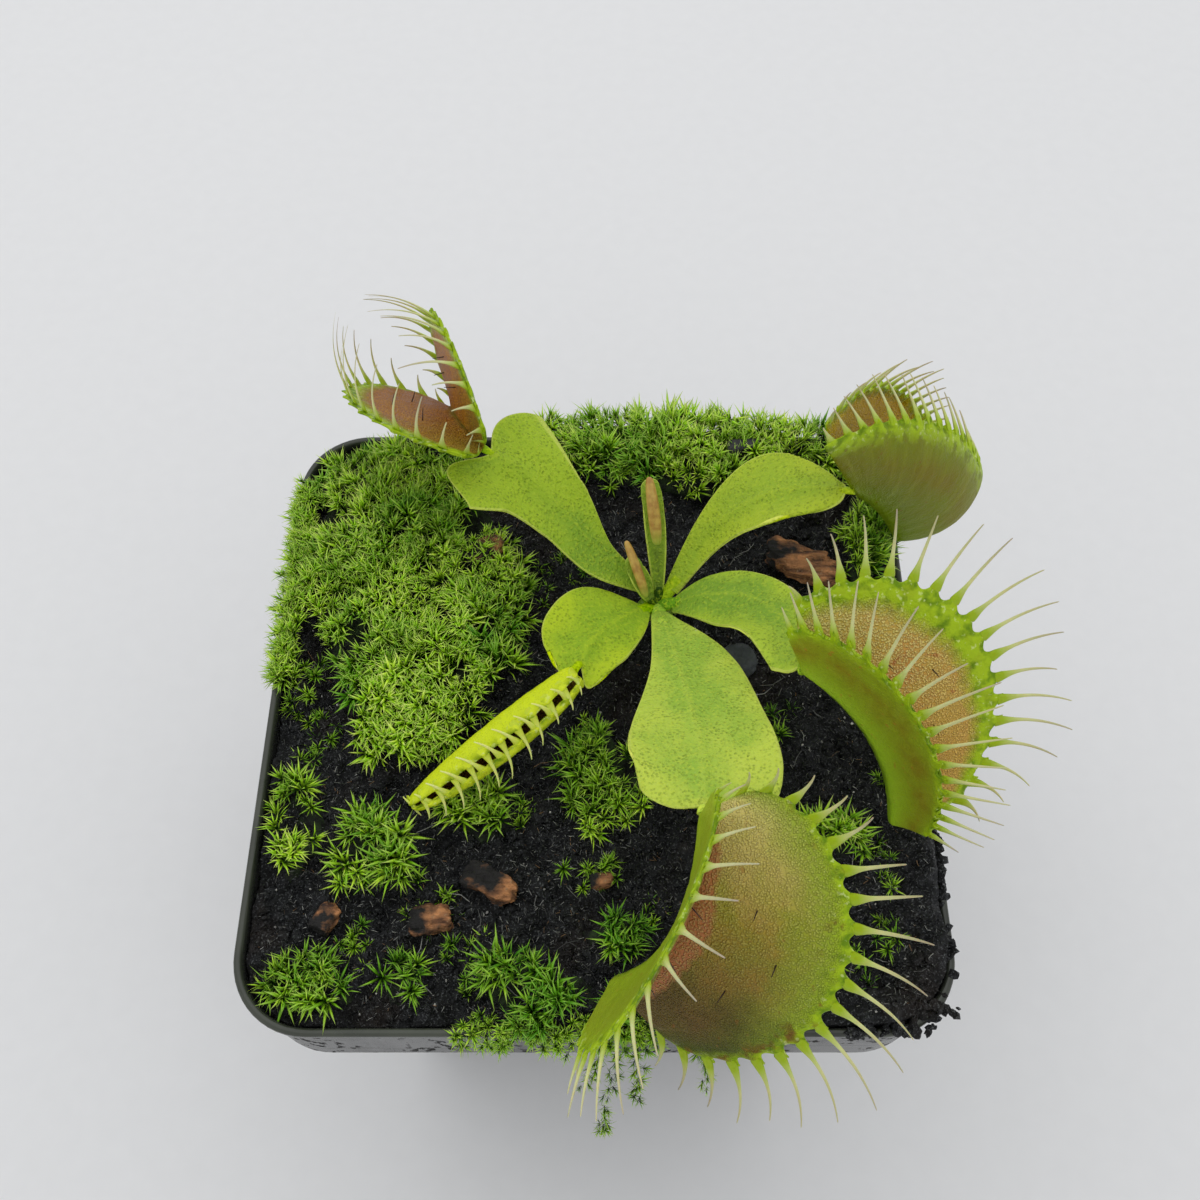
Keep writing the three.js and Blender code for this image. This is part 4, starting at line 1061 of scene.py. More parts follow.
# %% Lobes
def lobes(trap, rows, columns, thick):
    """One sheet for both lobes: across runs from -1 at one rim through the midrib to 1 at the other. Near the
    rim its reach changes by cusp·(0.12 - |sin phase|^0.75), where phase grows by pi from tooth to tooth."""
    even = np.linspace(0, 1, rows)
    u, across = np.meshgrid(0.5 * even + 0.25 * (1 - np.cos(np.pi * even)),
                            -np.cos(np.pi * np.linspace(0, 1, columns + 1)), indexing="ij")
    v = np.abs(across)
    middle = bay = 0
    for side in (-1, 1):
        count = lobe_of(trap, side)["teeth"][0]
        share = np.interp(u, *rim_shares(trap, side))
        phase = np.pi * (share - TOOTH_MARGIN) / (1 - 2 * TOOTH_MARGIN) * (count - 1)
        near_rim = ease((v - 0.84) / 0.16) * np.clip(8 * share, 0, 1) * np.clip(8 * (1 - share), 0, 1)
        grow = trap["cusp"] * (0.12 - np.abs(np.sin(phase)) ** 0.75) * near_rim
        mine = np.sign(across) * side > 0
        bay = bay + np.abs(np.sin(phase)) * mine
        middle = middle + lobe_point(trap, side, u, v, grow) * mine[..., None]
    centre = v < 1e-9
    middle[centre] = lobe_point(trap, 1, u[centre], 0.0)
    body = 0.5 * thick * (1 + 0.5 * np.exp(-(v / 0.12) ** 2))
    lumps = 0.2 * noise(middle, 1.3, 2) * ease((v - 0.74) / 0.14) + 0.06 * rough(middle, 1.2, 2, 8)
    ends = np.maximum(1 - (2 * u - 1) ** 24, 0) ** 0.5
    half = (body + lumps) * np.maximum(1 - across**2, 0) ** 0.22 * (0.25 + 0.75 * ends)
    points, faces, place = sheet(middle, half, np.stack([u, across, bay], -1))
    place = np.column_stack([place[:, :2], place[:, 3] * (1 + place[:, 2])])
    row, column = rows // 2, columns // 2
    normal = np.cross(middle[row + 1, column] - middle[row - 1, column],
                      middle[row, column + 1] - middle[row, column - 1])
    place[:, 2] *= np.sign(normal @ trap_axes(trap)[1])
    return points, faces, place


# %% [markdown]
# A tooth is a spine with a flared foot. Its centre line is a quadratic curve from a root sunk in the rim,
# over a knee that follows the lobe, to a tip that leans in over the mouth. It is thin where it leaves the
# lobe, and its width falls off fast at first, like the flare at a tree's foot.

# %% Teeth
ROOT_DEPTH = 1.4                          # how much of a tooth lies inside the rim


def teeth(trap, side, slim=1.0, curl=0.0, share=1.0):
    """All the teeth of one rim: elliptical rings along a quadratic curve, as wide as a flare, which falls by
    exp(-(run / 1.95)^2.4), and a shaft that narrows to its tip. curl is how far the tips bend along the rim,
    as a share of the tooth's length, by the cube of the way out, and share is the length kept."""
    lobe = lobe_of(trap, side)
    _, lean_neck, lean_tip, sweep_neck, sweep_tip, long_neck, long_middle, long_tip = lobe["teeth"]
    u = tooth_places(trap, side)
    step = 2e-3
    margin = lobe_point(trap, side, u, 1.0)
    out = unit(margin - lobe_point(trap, side, u, 1 - step))
    edge = unit(lobe_point(trap, side, np.minimum(u + step, 1), 1.0)
                - lobe_point(trap, side, np.maximum(u - step, 0), 1.0))
    inward = unit(-side * np.cross(edge, out))
    lean = np.radians(lean_neck + (lean_tip - lean_neck) * u)[:, None]
    sweep = np.tan(np.radians(sweep_neck + (sweep_tip - sweep_neck) * u))[:, None]
    jitter = 0.05 * random.normal(size=(len(u), 3))
    aim = unit(out * np.cos(lean) + inward * np.sin(lean) + edge * sweep + jitter)
    length = (long_neck + (long_tip - long_neck) * u
              + (long_middle - 0.5 * (long_neck + long_tip)) * np.sin(np.pi * u))
    length = (share * length * (1 + 0.06 * random.normal(size=len(u))))[:, None]
    root = margin - ROOT_DEPTH * out
    knee = margin + unit(0.45 * out + aim) * 0.45 * length
    tip = margin + aim * length
    w = np.linspace(0, 0.985, 19)[:, None] ** 1.4
    line = ((1 - w) ** 2 * root[:, None] + 2 * w * (1 - w) * knee[:, None] + w**2 * tip[:, None])
    line = line + curl * w**3 * (length * edge)[:, None]
    run = np.cumsum(np.linalg.norm(np.diff(line, axis=1, prepend=line[:, :1]), axis=-1), 1)
    flare = np.exp(-((run / 1.95) ** 2.4))
    shaft = slim * (1 - 0.75 * w[:, 0] ** 1.3)
    broad = ((0.5 + 0.5 * ease(run / 0.45)) * (0.44 * flare + 0.28 * shaft))[..., None, None]
    thin = ((0.3 + 0.7 * ease(run / 1.5)) * (0.1 * flare + 0.25 * shaft))[..., None, None]
    turn = turns(8)
    rings = (line[:, :, None] + thin * inward[:, None, None] * np.sin(turn)[:, None]
             + broad * edge[:, None, None] * np.cos(turn)[:, None])
    way = np.broadcast_to(w[:, 0], run.shape)[..., None, None]
    place = np.concatenate([way, run[..., None, None] / 10, random.random((len(u), 1, 1, 1)) + 0 * way], -1)
    return tubes(rings, root, tip + curl * length * edge, np.broadcast_to(place, rings.shape))


# %% Trigger hairs
HAIR_LENGTH = 2.2


def trigger_hairs(trap, side):
    """Three fine bristles on the inside of a lobe, which fire the trap when they are touched twice."""
    u, v = np.array([0.36, 0.52, 0.66]), np.array([0.42, 0.58, 0.42])
    root = lobe_point(trap, side, u, v)
    du = lobe_point(trap, side, u + 0.01, v) - root
    dv = lobe_point(trap, side, u, v + 0.01) - root
    inward = unit(-side * np.cross(du, dv))
    lean = unit(inward + 0.5 * unit(du))
    w = np.array([0, 0.5, 0.9])[:, None]
    line = root[:, None] + HAIR_LENGTH * w * lean[:, None]
    radius = 0.11 * (1 - 0.6 * w)
    rings = line[:, :, None] + radius[:, None] * circle(unit(du), unit(dv), 5)[:, None]
    return tubes(rings, root, root + HAIR_LENGTH * lean, np.zeros(3))


# %% [markdown]
# Inside, glands cover a lobe like fine shagreen and redden with age and sun, so each trap has its own
# tints. The glands' pale tops are painted highlights, and the darker red between them is painted shade. A
# lime band without glands, lumpy and shining, runs under the teeth, and its brightest flecks are painted
# glints. Outside, a lobe is plain olive, browner over its belly. The `place` attribute holds the way along
# the midrib, the way across from rim to rim, whose sign tells the two lobes apart, and a number that is
# positive inside, negative outside, and 1 in size at a tooth but 2 in the middle of a bay.

# %% Trap finish
def trap_finish(name, tints):
    """Glands inside, with painted highlights on their tops and painted shade between them, an olive belly
    outside, and a lime band near the rim on both, with painted glints.
    """
    skin = Finish(name, Subsurface_Weight=0.14, Subsurface_Scale=0.001, IOR=1.42,
                  Subsurface_Radius=(0.8, 0.8, 0.1), Specular_IOR_Level=0.2)
    band = tints["band"]
    u, across, face = skin.place()
    v, plus = across.maths("ABSOLUTE"), across.between(-0.02, 0.02)
    bay, inward = face.maths("ABSOLUTE") - 1, face.between(-0.3, 0.3)
    soft, fine, grains = skin.noise(0.004, 4), skin.noise(0.0009, 3), skin.cells(0.00027)
    wobble = v + 0.1 * (soft - 0.5) + 0.08 * (fine - 0.5)
    along = u + 0.35 * (soft - 0.5)
    bead_and_highlight = 1 - grains.between(0.28, 0.66)
    # the lime band, whose pale flecks are painted glints
    lime_patch = (skin.noise(0.0015, 3) - 0.1 * bay * v.between(0.88, 0.96)).between(0.32, 0.52)
    lime = skin.coats((0.15, 0.27, 0.004), (lime_patch, tints["lime"]),
                      (skin.noise(0.0007, 2).between(0.6, 0.68) * 0.55, (0.74, 0.84, 0.34)))
    # the inside: reds, then the glands, with painted shade between them and painted highlights on their tops,
    # then the band, blots and the midrib
    blotch = soft.between(0.36, 0.64)
    # on the front trap the base, tip and edge_tip overlays are partly painted light near the neck and painted
    # shade towards the tip
    red = skin.coats(
        skin.mix(plus, skin.mix(blotch, *tints["minus"]), skin.mix(blotch, *tints["plus"])),
        (along.between(0.34, 0.8) * 0.88, tints["tip"]),
        ((1 - along.between(0.06, 0.42)) * 0.9, tints["base"]),
        (wobble.between(*tints["edge_from"]) * 0.85,
         skin.mix(along.between(0.62, 0.85), tints["edge"], tints["edge_tip"])))
    # pale is how far the painted highlight lifts the glands' tops, less towards the tip; gaps is how far the
    # painted shade darkens the red between them
    pale = tints["pale"] * (1 - 0.85 * along.between(0.4, 0.8))
    glands = skin.mix(bead_and_highlight * (0.6 + 0.4 * fine), skin.mix(tints["gaps"], red, (0.07, 0.02, 0.004)),
                      skin.mix(pale, red, tints["bead_and_highlight"]))
    inside = skin.coats(
        glands,
        (skin.noise(0.0016, 2).between(0.68, 0.76) * 0.5, tints["spot"]),
        (wobble.between(band - 0.06, band + 0.07), lime),
        (skin.noise(0.0025, 3).between(0.54, 0.62) * v.near(0.87, 0.12) * tints["blots"], (0.2, 0.11, 0.015)),
        ((1 - wobble.between(*tints["rib_width"])) * 0.88,
         skin.mix(bead_and_highlight * 0.25, tints["rib"], tints["bead_and_highlight"])))
    # the outside: the belly, fine pores, faint veins and spots, then the band
    belly = v.near(0.55, 0.5) * (0.55 + 0.9 * (soft - 0.5))
    veins = skin.noise(0.03, 3, skin.node("ShaderNodeCombineXYZ", {}, {0: u, 1: 0.06 * v, 2: plus}))
    outside = skin.coats(
        tints["back"],
        (belly.between(0, 0.6), tints["belly"]),
        ((1 - grains.between(0.1, 0.4)) * 0.25, (0.05, 0.07, 0.0)),
        (veins.between(0.5, 0.66) * 0.12, (0.42, 0.5, 0.05)),
        (skin.noise(0.0008, 2).between(0.66, 0.74) * 0.4, tints["spot"]),
        ((wobble + 0.1 * (lime_patch - 0.5)).between(0.8, 0.97), lime))
    skin.set(Base_Color=skin.mix(inward, outside, inside),
             Roughness=0.26 + 0.22 * soft + 0.15 * bead_and_highlight * inward)
    lumpy = wobble.between(band, band + 0.1)
    height = (bead_and_highlight * inward * (1 - lumpy) + 0.12 * bead_and_highlight * (1 - inward)
              + 1.6 * skin.noise(0.0011, 3) * lumpy * (0.25 + 0.75 * inward) + 0.3 * skin.noise(0.0008, 3))
    skin.bump(height, 0.00024)
    return skin.material


# %% Tooth finish
def tooth_finish(name, root, middle, tip):
    """One colour at the root, another along the shaft, and a third that fades in towards the tip."""
    tooth = Finish(name, Subsurface_Weight=0.12, Subsurface_Scale=0.0006, Roughness=0.36,
                   Specular_IOR_Level=0.35)
    w, run, chance = tooth.place()
    shaft = tooth.mix(run.between(0.12, 0.38), root, middle)
    tooth.set(Base_Color=tooth.mix(w.between(0.3, 1.0) * (0.35 + 0.65 * chance), shaft, tip))
    tooth.bump(tooth.noise(0.0006, 3), 0.0001)
    return tooth.material


# %% [markdown]
# Each trap has its own colours. The two reds of a lobe blend in blotches, and others lie over them towards
# the trap's tip, its base and its edge; on the front trap these carry painted light near the neck and
# painted shade towards the tip and the lower rim. One colour is the painted highlight on the glands' tops,
# gaps and pale say how much the painted shade and highlight darken and lighten the red, and band is how far
# out the lime band begins.

# %% Trap colours
LIME = (0.38, 0.54, 0.012)
PLAIN = dict(lime=LIME, edge=LIME, edge_tip=LIME, edge_from=(1.5, 1.6), gaps=0.36, pale=0.25,
             rib=(0.26, 0.28, 0.02), rib_width=(0.02, 0.12))
TRAP_TINTS = {
    "back_left": dict(
        PLAIN, plus=[(0.66, 0.1, 0.004), (0.88, 0.3, 0.006)],
        minus=[(0.56, 0.12, 0.014), (0.76, 0.27, 0.02)], tip=(0.58, 0.2, 0.018),
        base=(0.44, 0.3, 0.008), bead_and_highlight=(0.95, 0.72, 0.12), spot=(0.2, 0.012, 0.01), band=0.82, blots=0.0,
        back=(0.26, 0.38, 0.015), belly=(0.34, 0.34, 0.02), gaps=0.46, pale=0.45),
    "back_right": dict(
        PLAIN, plus=[(0.84, 0.5, 0.01), (0.95, 0.64, 0.015)],
        minus=[(0.84, 0.5, 0.01), (0.95, 0.64, 0.015)], tip=(0.86, 0.56, 0.01),
        base=(0.9, 0.64, 0.012), bead_and_highlight=(0.98, 0.84, 0.12), spot=(0.24, 0.06, 0.01), band=0.94, blots=0.0,
        back=(0.18, 0.26, 0.005), belly=(0.2, 0.17, 0.006), gaps=0.3),
    "right": dict(
        PLAIN, plus=[(0.95, 0.48, 0.11), (1.0, 0.64, 0.13)],
        minus=[(0.98, 0.48, 0.12), (1.0, 0.7, 0.14)], tip=(0.95, 0.6, 0.13), base=(0.98, 0.82, 0.18),
        bead_and_highlight=(1.0, 0.92, 0.36), spot=(0.5, 0.08, 0.03), band=0.72, blots=0.15, back=(0.33, 0.52, 0.022),
        belly=(0.27, 0.23, 0.014), gaps=0.42, pale=0.75),
    # the front trap's pale base is partly painted light near the neck, and its dark tip and edge_tip are
    # partly painted shade at the tip and lower rim
    "front": dict(
        PLAIN, plus=[(0.5, 0.18, 0.06), (0.5, 0.22, 0.06)],
        minus=[(0.54, 0.35, 0.055), (0.52, 0.5, 0.05)], tip=(0.12, 0.075, 0.02),
        base=(0.96, 0.84, 0.28), bead_and_highlight=(0.98, 0.88, 0.28), spot=(0.36, 0.12, 0.02), band=0.86,
        edge=(0.36, 0.52, 0.03), edge_tip=(0.075, 0.125, 0.015), edge_from=(0.52, 0.8), blots=1.0,
        back=(0.31, 0.43, 0.016), belly=(0.31, 0.39, 0.018), rib=(0.52, 0.2, 0.08),
        rib_width=(0.16, 0.2), gaps=0.24),
    "left": dict(
        PLAIN, plus=[(0.22, 0.1, 0.01), (0.36, 0.18, 0.015)],
        minus=[(0.22, 0.1, 0.01), (0.36, 0.18, 0.015)], tip=(0.26, 0.12, 0.01), base=(0.3, 0.18, 0.01),
        bead_and_highlight=(0.5, 0.3, 0.05), spot=(0.6, 0.7, 0.05), band=0.62, blots=0.0, back=(0.6, 0.72, 0.01),
        belly=(0.68, 0.8, 0.014), lime=(0.7, 0.82, 0.03))}

# %% Finishes of teeth and hairs
tooth_pale = tooth_finish("tooth_cream", (0.38, 0.53, 0.015), (0.7, 0.72, 0.32), (0.42, 0.36, 0.28))
tooth_lime = tooth_finish("tooth_lime", (0.6, 0.72, 0.03), (0.8, 0.84, 0.18), (0.82, 0.84, 0.36))
hair_finish = Finish("trigger_hair", Roughness=0.5)
hair_finish.set(Base_Color=(0.03, 0.008, 0.01))

# %% Trap pieces
TOOTH_FORMS = {"left": dict(slim=1.15, curl=0.24), "back_right": dict(share=0.78)}
for name, trap in TRAPS.items():
    small = name == "left"
    skin = trap_finish(f"trap_skin_{name}", TRAP_TINTS[name])
    both_lobes = lobes(trap, rows=360, columns=56, thick=0.75 if small else 0.85)
    make(f"lobes_{name}", both_lobes, skin, [f"trap_{name}"])
    all_teeth = together(*(teeth(trap, side, **TOOTH_FORMS.get(name, {})) for side in (1, -1)))
    make(f"teeth_{name}", all_teeth, tooth_lime if small else tooth_pale)
    if not small:
        hairs = together(*(trigger_hairs(trap, side) for side in (1, -1)))
        make(f"hairs_{name}", hairs, hair_finish.material)

# %% [markdown]
# ## Unopened traps
# A new trap is a tan rod, still shut, bent over the middle of its leaf. It is a ball stretched along a
# line, a little flattened, with a groove where the two lobes will part.

# %% Buds
BUDS = {"young_tall": ([8.6, 17.6, 91.6], [7.3, 23.3, 99.6], 0.9),
        "young_short": ([7.2, 12.6, 85.8], [4.3, 18.0, 92.0], 0.72)}
bud_finish = Finish("bud_tan", Subsurface_Weight=0.15, Subsurface_Scale=0.001, Roughness=0.45)
down = bud_finish.place()[0]
tan = bud_finish.mix(bud_finish.noise(0.0009, 3).between(0.35, 0.65), (0.42, 0.22, 0.045), (0.6, 0.4, 0.09))
bud_finish.set(Base_Color=bud_finish.mix(down.between(0.72, 1.0), tan, (0.36, 0.45, 0.06)))
bud_finish.bump(bud_finish.noise(0.0004, 3), 0.0001)


def bud(start, end, radius):
    """Rings of the radius (4w(1 - w))^0.27·(1 - 0.1w) along the line, pinched at the groove. The first place
    number is the way down from the tip, for the green at its foot."""
    start, end = np.array(start), np.array(end)
    along = unit(end - start)
    side = unit(np.cross(along, [0, 0, 1.0]))
    up = np.cross(side, along)
    w = np.linspace(0.004, 0.996, 40)[:, None]
    turn = turns(24)
    arch = (4 * w * (1 - w)) ** 0.27 * (1 - 0.1 * w)
    pinch = 1 - 0.22 * np.exp(-((turn - np.pi / 2) / 0.22) ** 2)
    size = radius * arch * pinch
    curve = 0.35 * np.sin(np.pi * w)
    rings = (start + (end - start) * w[..., None] + (curve + size * 0.85 * np.sin(turn))[..., None] * up
             + (size * np.cos(turn))[..., None] * side)
    place = np.stack([1 - w + 0 * turn] * 3, -1)
    return tubes(rings[None], start[None], end[None], place[None])


for name, values in BUDS.items():
    make(f"bud_{name}", bud(*values), bud_finish.material, [f"trap_{name}"])

# %% [markdown]
# ## The rhizome
# The short underground stem is white, and green at its top, where light reaches it. The leaves' sheaths
# cover that top, so the frame's own solid stays and just gets a waxy finish.

# %% Rhizome finish
wax = Finish("rhizome_wax", Roughness=0.45, Subsurface_Weight=0.2, Subsurface_Scale=0.001)
cream = wax.mix(wax.noise(0.002, 3), (0.42, 0.44, 0.16), (0.62, 0.6, 0.36))
green = wax.mix(wax.noise(0.001, 3), (0.1, 0.2, 0.008), (0.24, 0.38, 0.015))
wax.set(Base_Color=wax.mix(wax.height().between(0.078, 0.081), cream, green))
wax.bump(wax.noise(0.0006, 3), 0.0001)
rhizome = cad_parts["rhizome"]
rhizome.data.materials.clear()
rhizome.data.materials.append(wax.material)
print("rhizome finished:", len(rhizome.data.polygons), "faces")

# %% [markdown]
# ## Moss
# The moss is a carpet of star-shaped shoots. Each cushion has a low core, painted dark as the shade beneath
# the shoots, and its surface is planted with shoots on a shaken grid. A shoot is a fan of narrow keeled
# blades round a stem, steep at its top and spreading lower down. Blades are the repeated shape here, so
# each has only a dozen faces.

# %% Moss cushions
MOSS = {                                  # centre, half sizes, turn, thickness, and the outline's wobble
    "left": [(-27, 17), (1, 1), 0, 6, [16.5, 17, 20, 25.6, 26.4, 19, 16.8, 14.6, 16.5, 26.5, 21.6, 18]],
    "left_edge": [(-39.8, -17.5), (3.4, 7.6), 8, 3.2, 0.16],
    "left_inner": [(-29, -21.4), (5.2, 6.2), 20, 3.4, 0.18],
    "left_tuft": [(-14.5, -16), (6, 4), -12, 3, 0.16],
    "back": [(17, 41.2), (25.5, 6.3), -4, 6, 0.12],
    "back_right": [(40.5, 26.5), (4, 8), -4, 5, 0.14],
    "front_left": [(-35.5, -38.5), (5.5, 4), 0, 3.2, 0.16],
    "front_inner": [(-24, -38.5), (3, 3.6), 10, 3, 0.15],
    "front": [(-6, -40.2), (10.5, 4.6), -14, 4.5, 0.14],
    "centre": [(1.5, -11.5), (5.4, 8.2), 12, 3.6, 0.16],
    "centre_tuft": [(2.5, -33), (3.8, 2.8), -10, 3, 0.14],
    "right_tuft": [(30.5, -20.5), (6, 2.8), -16, 2.8, 0.16]}


def outline(cushion, phase, angle):
    """How far a cushion reaches at an angle. With a single wobble it is 1 + wobble·(sin(3 angle + phase) +
    0.6 sin(5 angle + 2.1 phase)), and the big carpet has a spline through its reach every 30 degrees."""
    shape = cushion[4]
    if isinstance(shape, list):
        return through([*shape, shape[0]], angle / (2 * np.pi) % 1)
    return 1 + shape * (np.sin(3 * angle + phase) + 0.6 * np.sin(5 * angle + 2.1 * phase))


def cushion_point(cushion, phase, share, angle):
    """A point of the cushion's outline shrunk to a share, on an ellipse of its half sizes."""
    (cx, cy), (a, b), turn, _, _ = cushion
    edge = share * outline(cushion, phase, angle)
    x, y = turned_by(turn, edge * a * np.cos(angle), edge * b * np.sin(angle))
    return cx + x, cy + y


def cushion_share(cushion, phase, x, y):
    """The share at which the cushion's shrunk outline passes through a point."""
    (cx, cy), (a, b), turn, _, _ = cushion
    along, beside = turned_by(-turn, x - cx, y - cy)
    return np.hypot(along / a, beside / b) / outline(cushion, phase, np.arctan2(beside / b, along / a))


def cushion_top(cushion, phase, share, x, y):
    """The mix's height plus a pillow, thickness·(1 - (0.94 share)^4)^0.5, with dimples."""
    pillow = cushion[3] * np.sqrt(np.maximum(1 - (0.94 * share) ** 4, 0))
    return soil_plain(x, y) + pillow + 0.45 * np.sin(1.1 * x + phase) * np.sin(1.2 * y)


# %% Moss core
LOW_RING = 0.94                           # share of the outline at which the core's foot stands


def cushion_core(cushion, phase, sunk):
    """Rings from under the cushion out to its foot and up over its top, which lies sunk below the tips."""
    angle = turns(96)
    x, y = cushion_point(cushion, phase, 0.6, angle)
    base = soil_plain(*cushion[0]) - 1.0
    rings = [np.stack([x, y, base + 0 * x], -1)]
    for share in [LOW_RING, *np.linspace(0.95, 0.05, 24)]:
        x, y = cushion_point(cushion, phase, share, angle)
        z = base + 0 * x if share == LOW_RING else cushion_top(cushion, phase, share, x, y) - sunk
        rings.append(np.stack([x, y, z + 0.6 * rough(flat3(x, y), 1.9, 3, 5)], -1))
    rings = np.array(rings)
    ends = [rings[0].mean(0), rings[-1].mean(0)]
    return tubes(rings[None], ends[0][None], ends[1][None], np.zeros(3))


# %% Moss shoots
LEAVES_PER_SHOOT = 16
GOLDEN_TURN = np.pi * (3 - np.sqrt(5))


def shoots(roots, axes, height, blade_length, freshness, upright=0.0):
    """For each shoot, blades at golden-angle turns: steep at the top, spreading below, longest halfway, and
    all steeper by up to upright degrees. freshness from 0 to 1 is the first place number, for the colour."""
    count = len(roots)
    order = np.arange(LEAVES_PER_SHOOT) / (LEAVES_PER_SHOOT - 1)
    side = unit(np.cross(axes, random.normal(size=(count, 3))))
    other = np.cross(axes, side)
    azimuth = (GOLDEN_TURN * np.arange(LEAVES_PER_SHOOT) + random.uniform(0, 6.3, (count, 1))
               + random.normal(0, 0.25, (count, LEAVES_PER_SHOOT)))[..., None]
    outward = side[:, None] * np.cos(azimuth) + other[:, None] * np.sin(azimuth)
    axis = np.broadcast_to(axes[:, None], outward.shape)
    steep = upright + 14 + (58 - 0.4 * upright) * order
    rise = np.radians(steep + random.normal(0, 10, (count, LEAVES_PER_SHOOT)))[..., None]
    length = (blade_length[:, None] * (0.8 + 0.3 * np.sin(np.pi * order))
              * random.uniform(0.8, 1.2, (count, LEAVES_PER_SHOOT)))[..., None]
    foot = roots[:, None] + axis * (height[:, None] * (0.25 + 0.75 * order))[..., None]
    middle = foot + 0.5 * length * (outward * np.cos(rise) + axis * np.sin(rise))
    droop = rise - np.radians(random.uniform(4, 30, rise.shape))
    tip = middle + 0.55 * length * (outward * np.cos(droop) + axis * np.sin(droop))
    flat_way = unit(np.cross(axis, outward))
    keel = unit(np.cross(flat_way, tip - foot))
    corners = np.array([[-1, 0.0], [0, -0.45], [1, 0.0]])
    half = 0.052 * length                 # half a blade's width
    blade = lambda centre, size: (centre[..., None, :] + size[..., None] * (
        flat_way[..., None, :] * corners[:, :1] + keel[..., None, :] * corners[:, 1:]))
    rings = np.stack([blade(foot, 0.8 * half), blade(middle, half)], 2)
    hue = np.broadcast_to(freshness[:, None, None, None, None], (*rings.shape[:-1], 1))
    along = np.broadcast_to(np.array([0.0, 0.5])[:, None, None], hue.shape)
    chance = np.broadcast_to(random.random((count, LEAVES_PER_SHOOT, 1, 1, 1)), hue.shape)
    join = lambda a: a.reshape(-1, *a.shape[2:])
    shape = tubes(join(rings), join(foot), join(tip), join(np.concatenate([hue, along, chance], -1)))
    shape[2].reshape(-1, 8, 3)[:, -1, 1] = 1.0
    return shape


# %% Planting the moss
def planted(cushion, phase, spacing, fresh, patchy, fill):
    """Shoots on a shaken grid inside the outline. Noise of 3.1 mm leaves gaps, more of them outwards. The
    shoots stand off the cushion and lean together, as noise of 11 mm turns them, and noise of 4.5 and 7 mm
    changes their size and their freshness."""
    (cx, cy), sizes, _, thick, _ = cushion
    reach = 1.05 * max(sizes) * outline(cushion, phase, np.linspace(0, 2 * np.pi, 60)).max()
    line = np.arange(-reach, reach, spacing)
    x, y = np.meshgrid(line, line * 0.9)
    x = x + 0.5 * spacing * (np.arange(len(line)) % 2)[:, None] + cx
    y = y + cy
    x, y = (a.ravel() + random.uniform(-0.5, 0.5, a.size) * spacing for a in (x, y))
    share = cushion_share(cushion, phase, x, y)
    limit = -0.72 + 0.8 * patchy * (0.4 + 0.6 * share)
    keep = (share < fill + 0.1 * noise(flat3(x, y), 2.5, 3)) & (noise(flat3(x, y), 3.1, 7) > limit)
    x, y, share = x[keep], y[keep], share[keep]
    step = 0.05
    top_at = lambda x, y: cushion_top(cushion, phase, cushion_share(cushion, phase, x, y), x, y)
    top = top_at(x, y)
    normal = unit(np.stack([top - top_at(x + step, y), top - top_at(x, y + step), np.full(len(x), step)], -1))
    turn = 2.5 * np.pi * noise(flat3(x, y), 11, 21)
    flow = np.stack([np.cos(turn), np.sin(turn), 0 * turn], -1)
    axes = unit(0.7 * normal + [0, 0, 0.4] + 0.5 * flow + 0.22 * random.normal(size=normal.shape))
    vigour = 1 + 0.3 * noise(flat3(x, y), 4.5, 13) + random.uniform(-0.22, 0.22, len(x))
    height = random.uniform(1.0, 2.0, len(x)) * (0.7 + 0.1 * thick) * vigour
    roots = np.stack([x, y, top], -1) - axes * (height * 0.75)[:, None]
    freshness = np.clip(fresh + 0.6 * noise(flat3(x, y), 7, 17) + random.uniform(-0.36, 0.36, len(x)), 0, 1)
    return roots, axes, height, random.uniform(1.9, 3.2, len(x)) * vigour, freshness


def clumps(centres, spread, each, outward, fresh, size=1.0):
    """Loose shoots scattered round given points, standing up and leaning along outward."""
    middle = np.repeat(centres, each, axis=0)
    roots = middle + random.normal(0, 0.5, middle.shape) * spread
    axes = unit(np.array([0, 0, 0.8]) + outward + 0.45 * random.normal(size=roots.shape))
    freshness = np.clip(fresh + random.uniform(-0.3, 0.3, len(roots)), 0, 1)
    height = size * random.uniform(0.8, 1.6, len(roots))
    blade_length = size * random.uniform(1.3, 2.2, len(roots))
    return roots, axes, height, blade_length, freshness


# %% [markdown]
# Moss is two greens at once: fresh lime tips over deep green, with whole patches of either. Each shoot
# carries its own freshness, and the way along a blade runs from a shaded foot to a pale tip.

# %% Moss finish and pieces
moss = Finish("moss_green", Roughness=0.34, Specular_IOR_Level=0.3)
hue, along, chance = moss.place()
foot = moss.mix(hue, (0.006, 0.032, 0.002), (0.03, 0.1, 0.003))
deep = moss.mix(chance, (0.07, 0.27, 0.007), (0.15, 0.42, 0.01))
fresh_green = moss.mix(chance, (0.38, 0.78, 0.012), (0.68, 0.98, 0.04))
body = moss.mix(hue, deep, fresh_green)
point = moss.mix(hue, (0.46, 0.8, 0.1), (0.96, 1.0, 0.36))
blade_colour = moss.mix(along.between(0.1, 0.56), foot, body)
moss.set(Base_Color=moss.mix(along.between(0.55, 1.0) * (0.35 + 0.65 * chance), blade_colour, point))
# the core is painted near-black green as the shade beneath the shoots, with a few pale specks
core = Finish("moss_core", Roughness=0.9)
shade = core.mix(core.noise(0.0015, 5).between(0.4, 0.66), (0.004, 0.005, 0.003), (0.022, 0.045, 0.008))
core.set(Base_Color=core.mix(core.noise(0.00035, 3).between(0.6, 0.7) * 0.6, shade, (0.08, 0.09, 0.06)))
core.bump(core.noise(0.0008, 5), 0.0009)

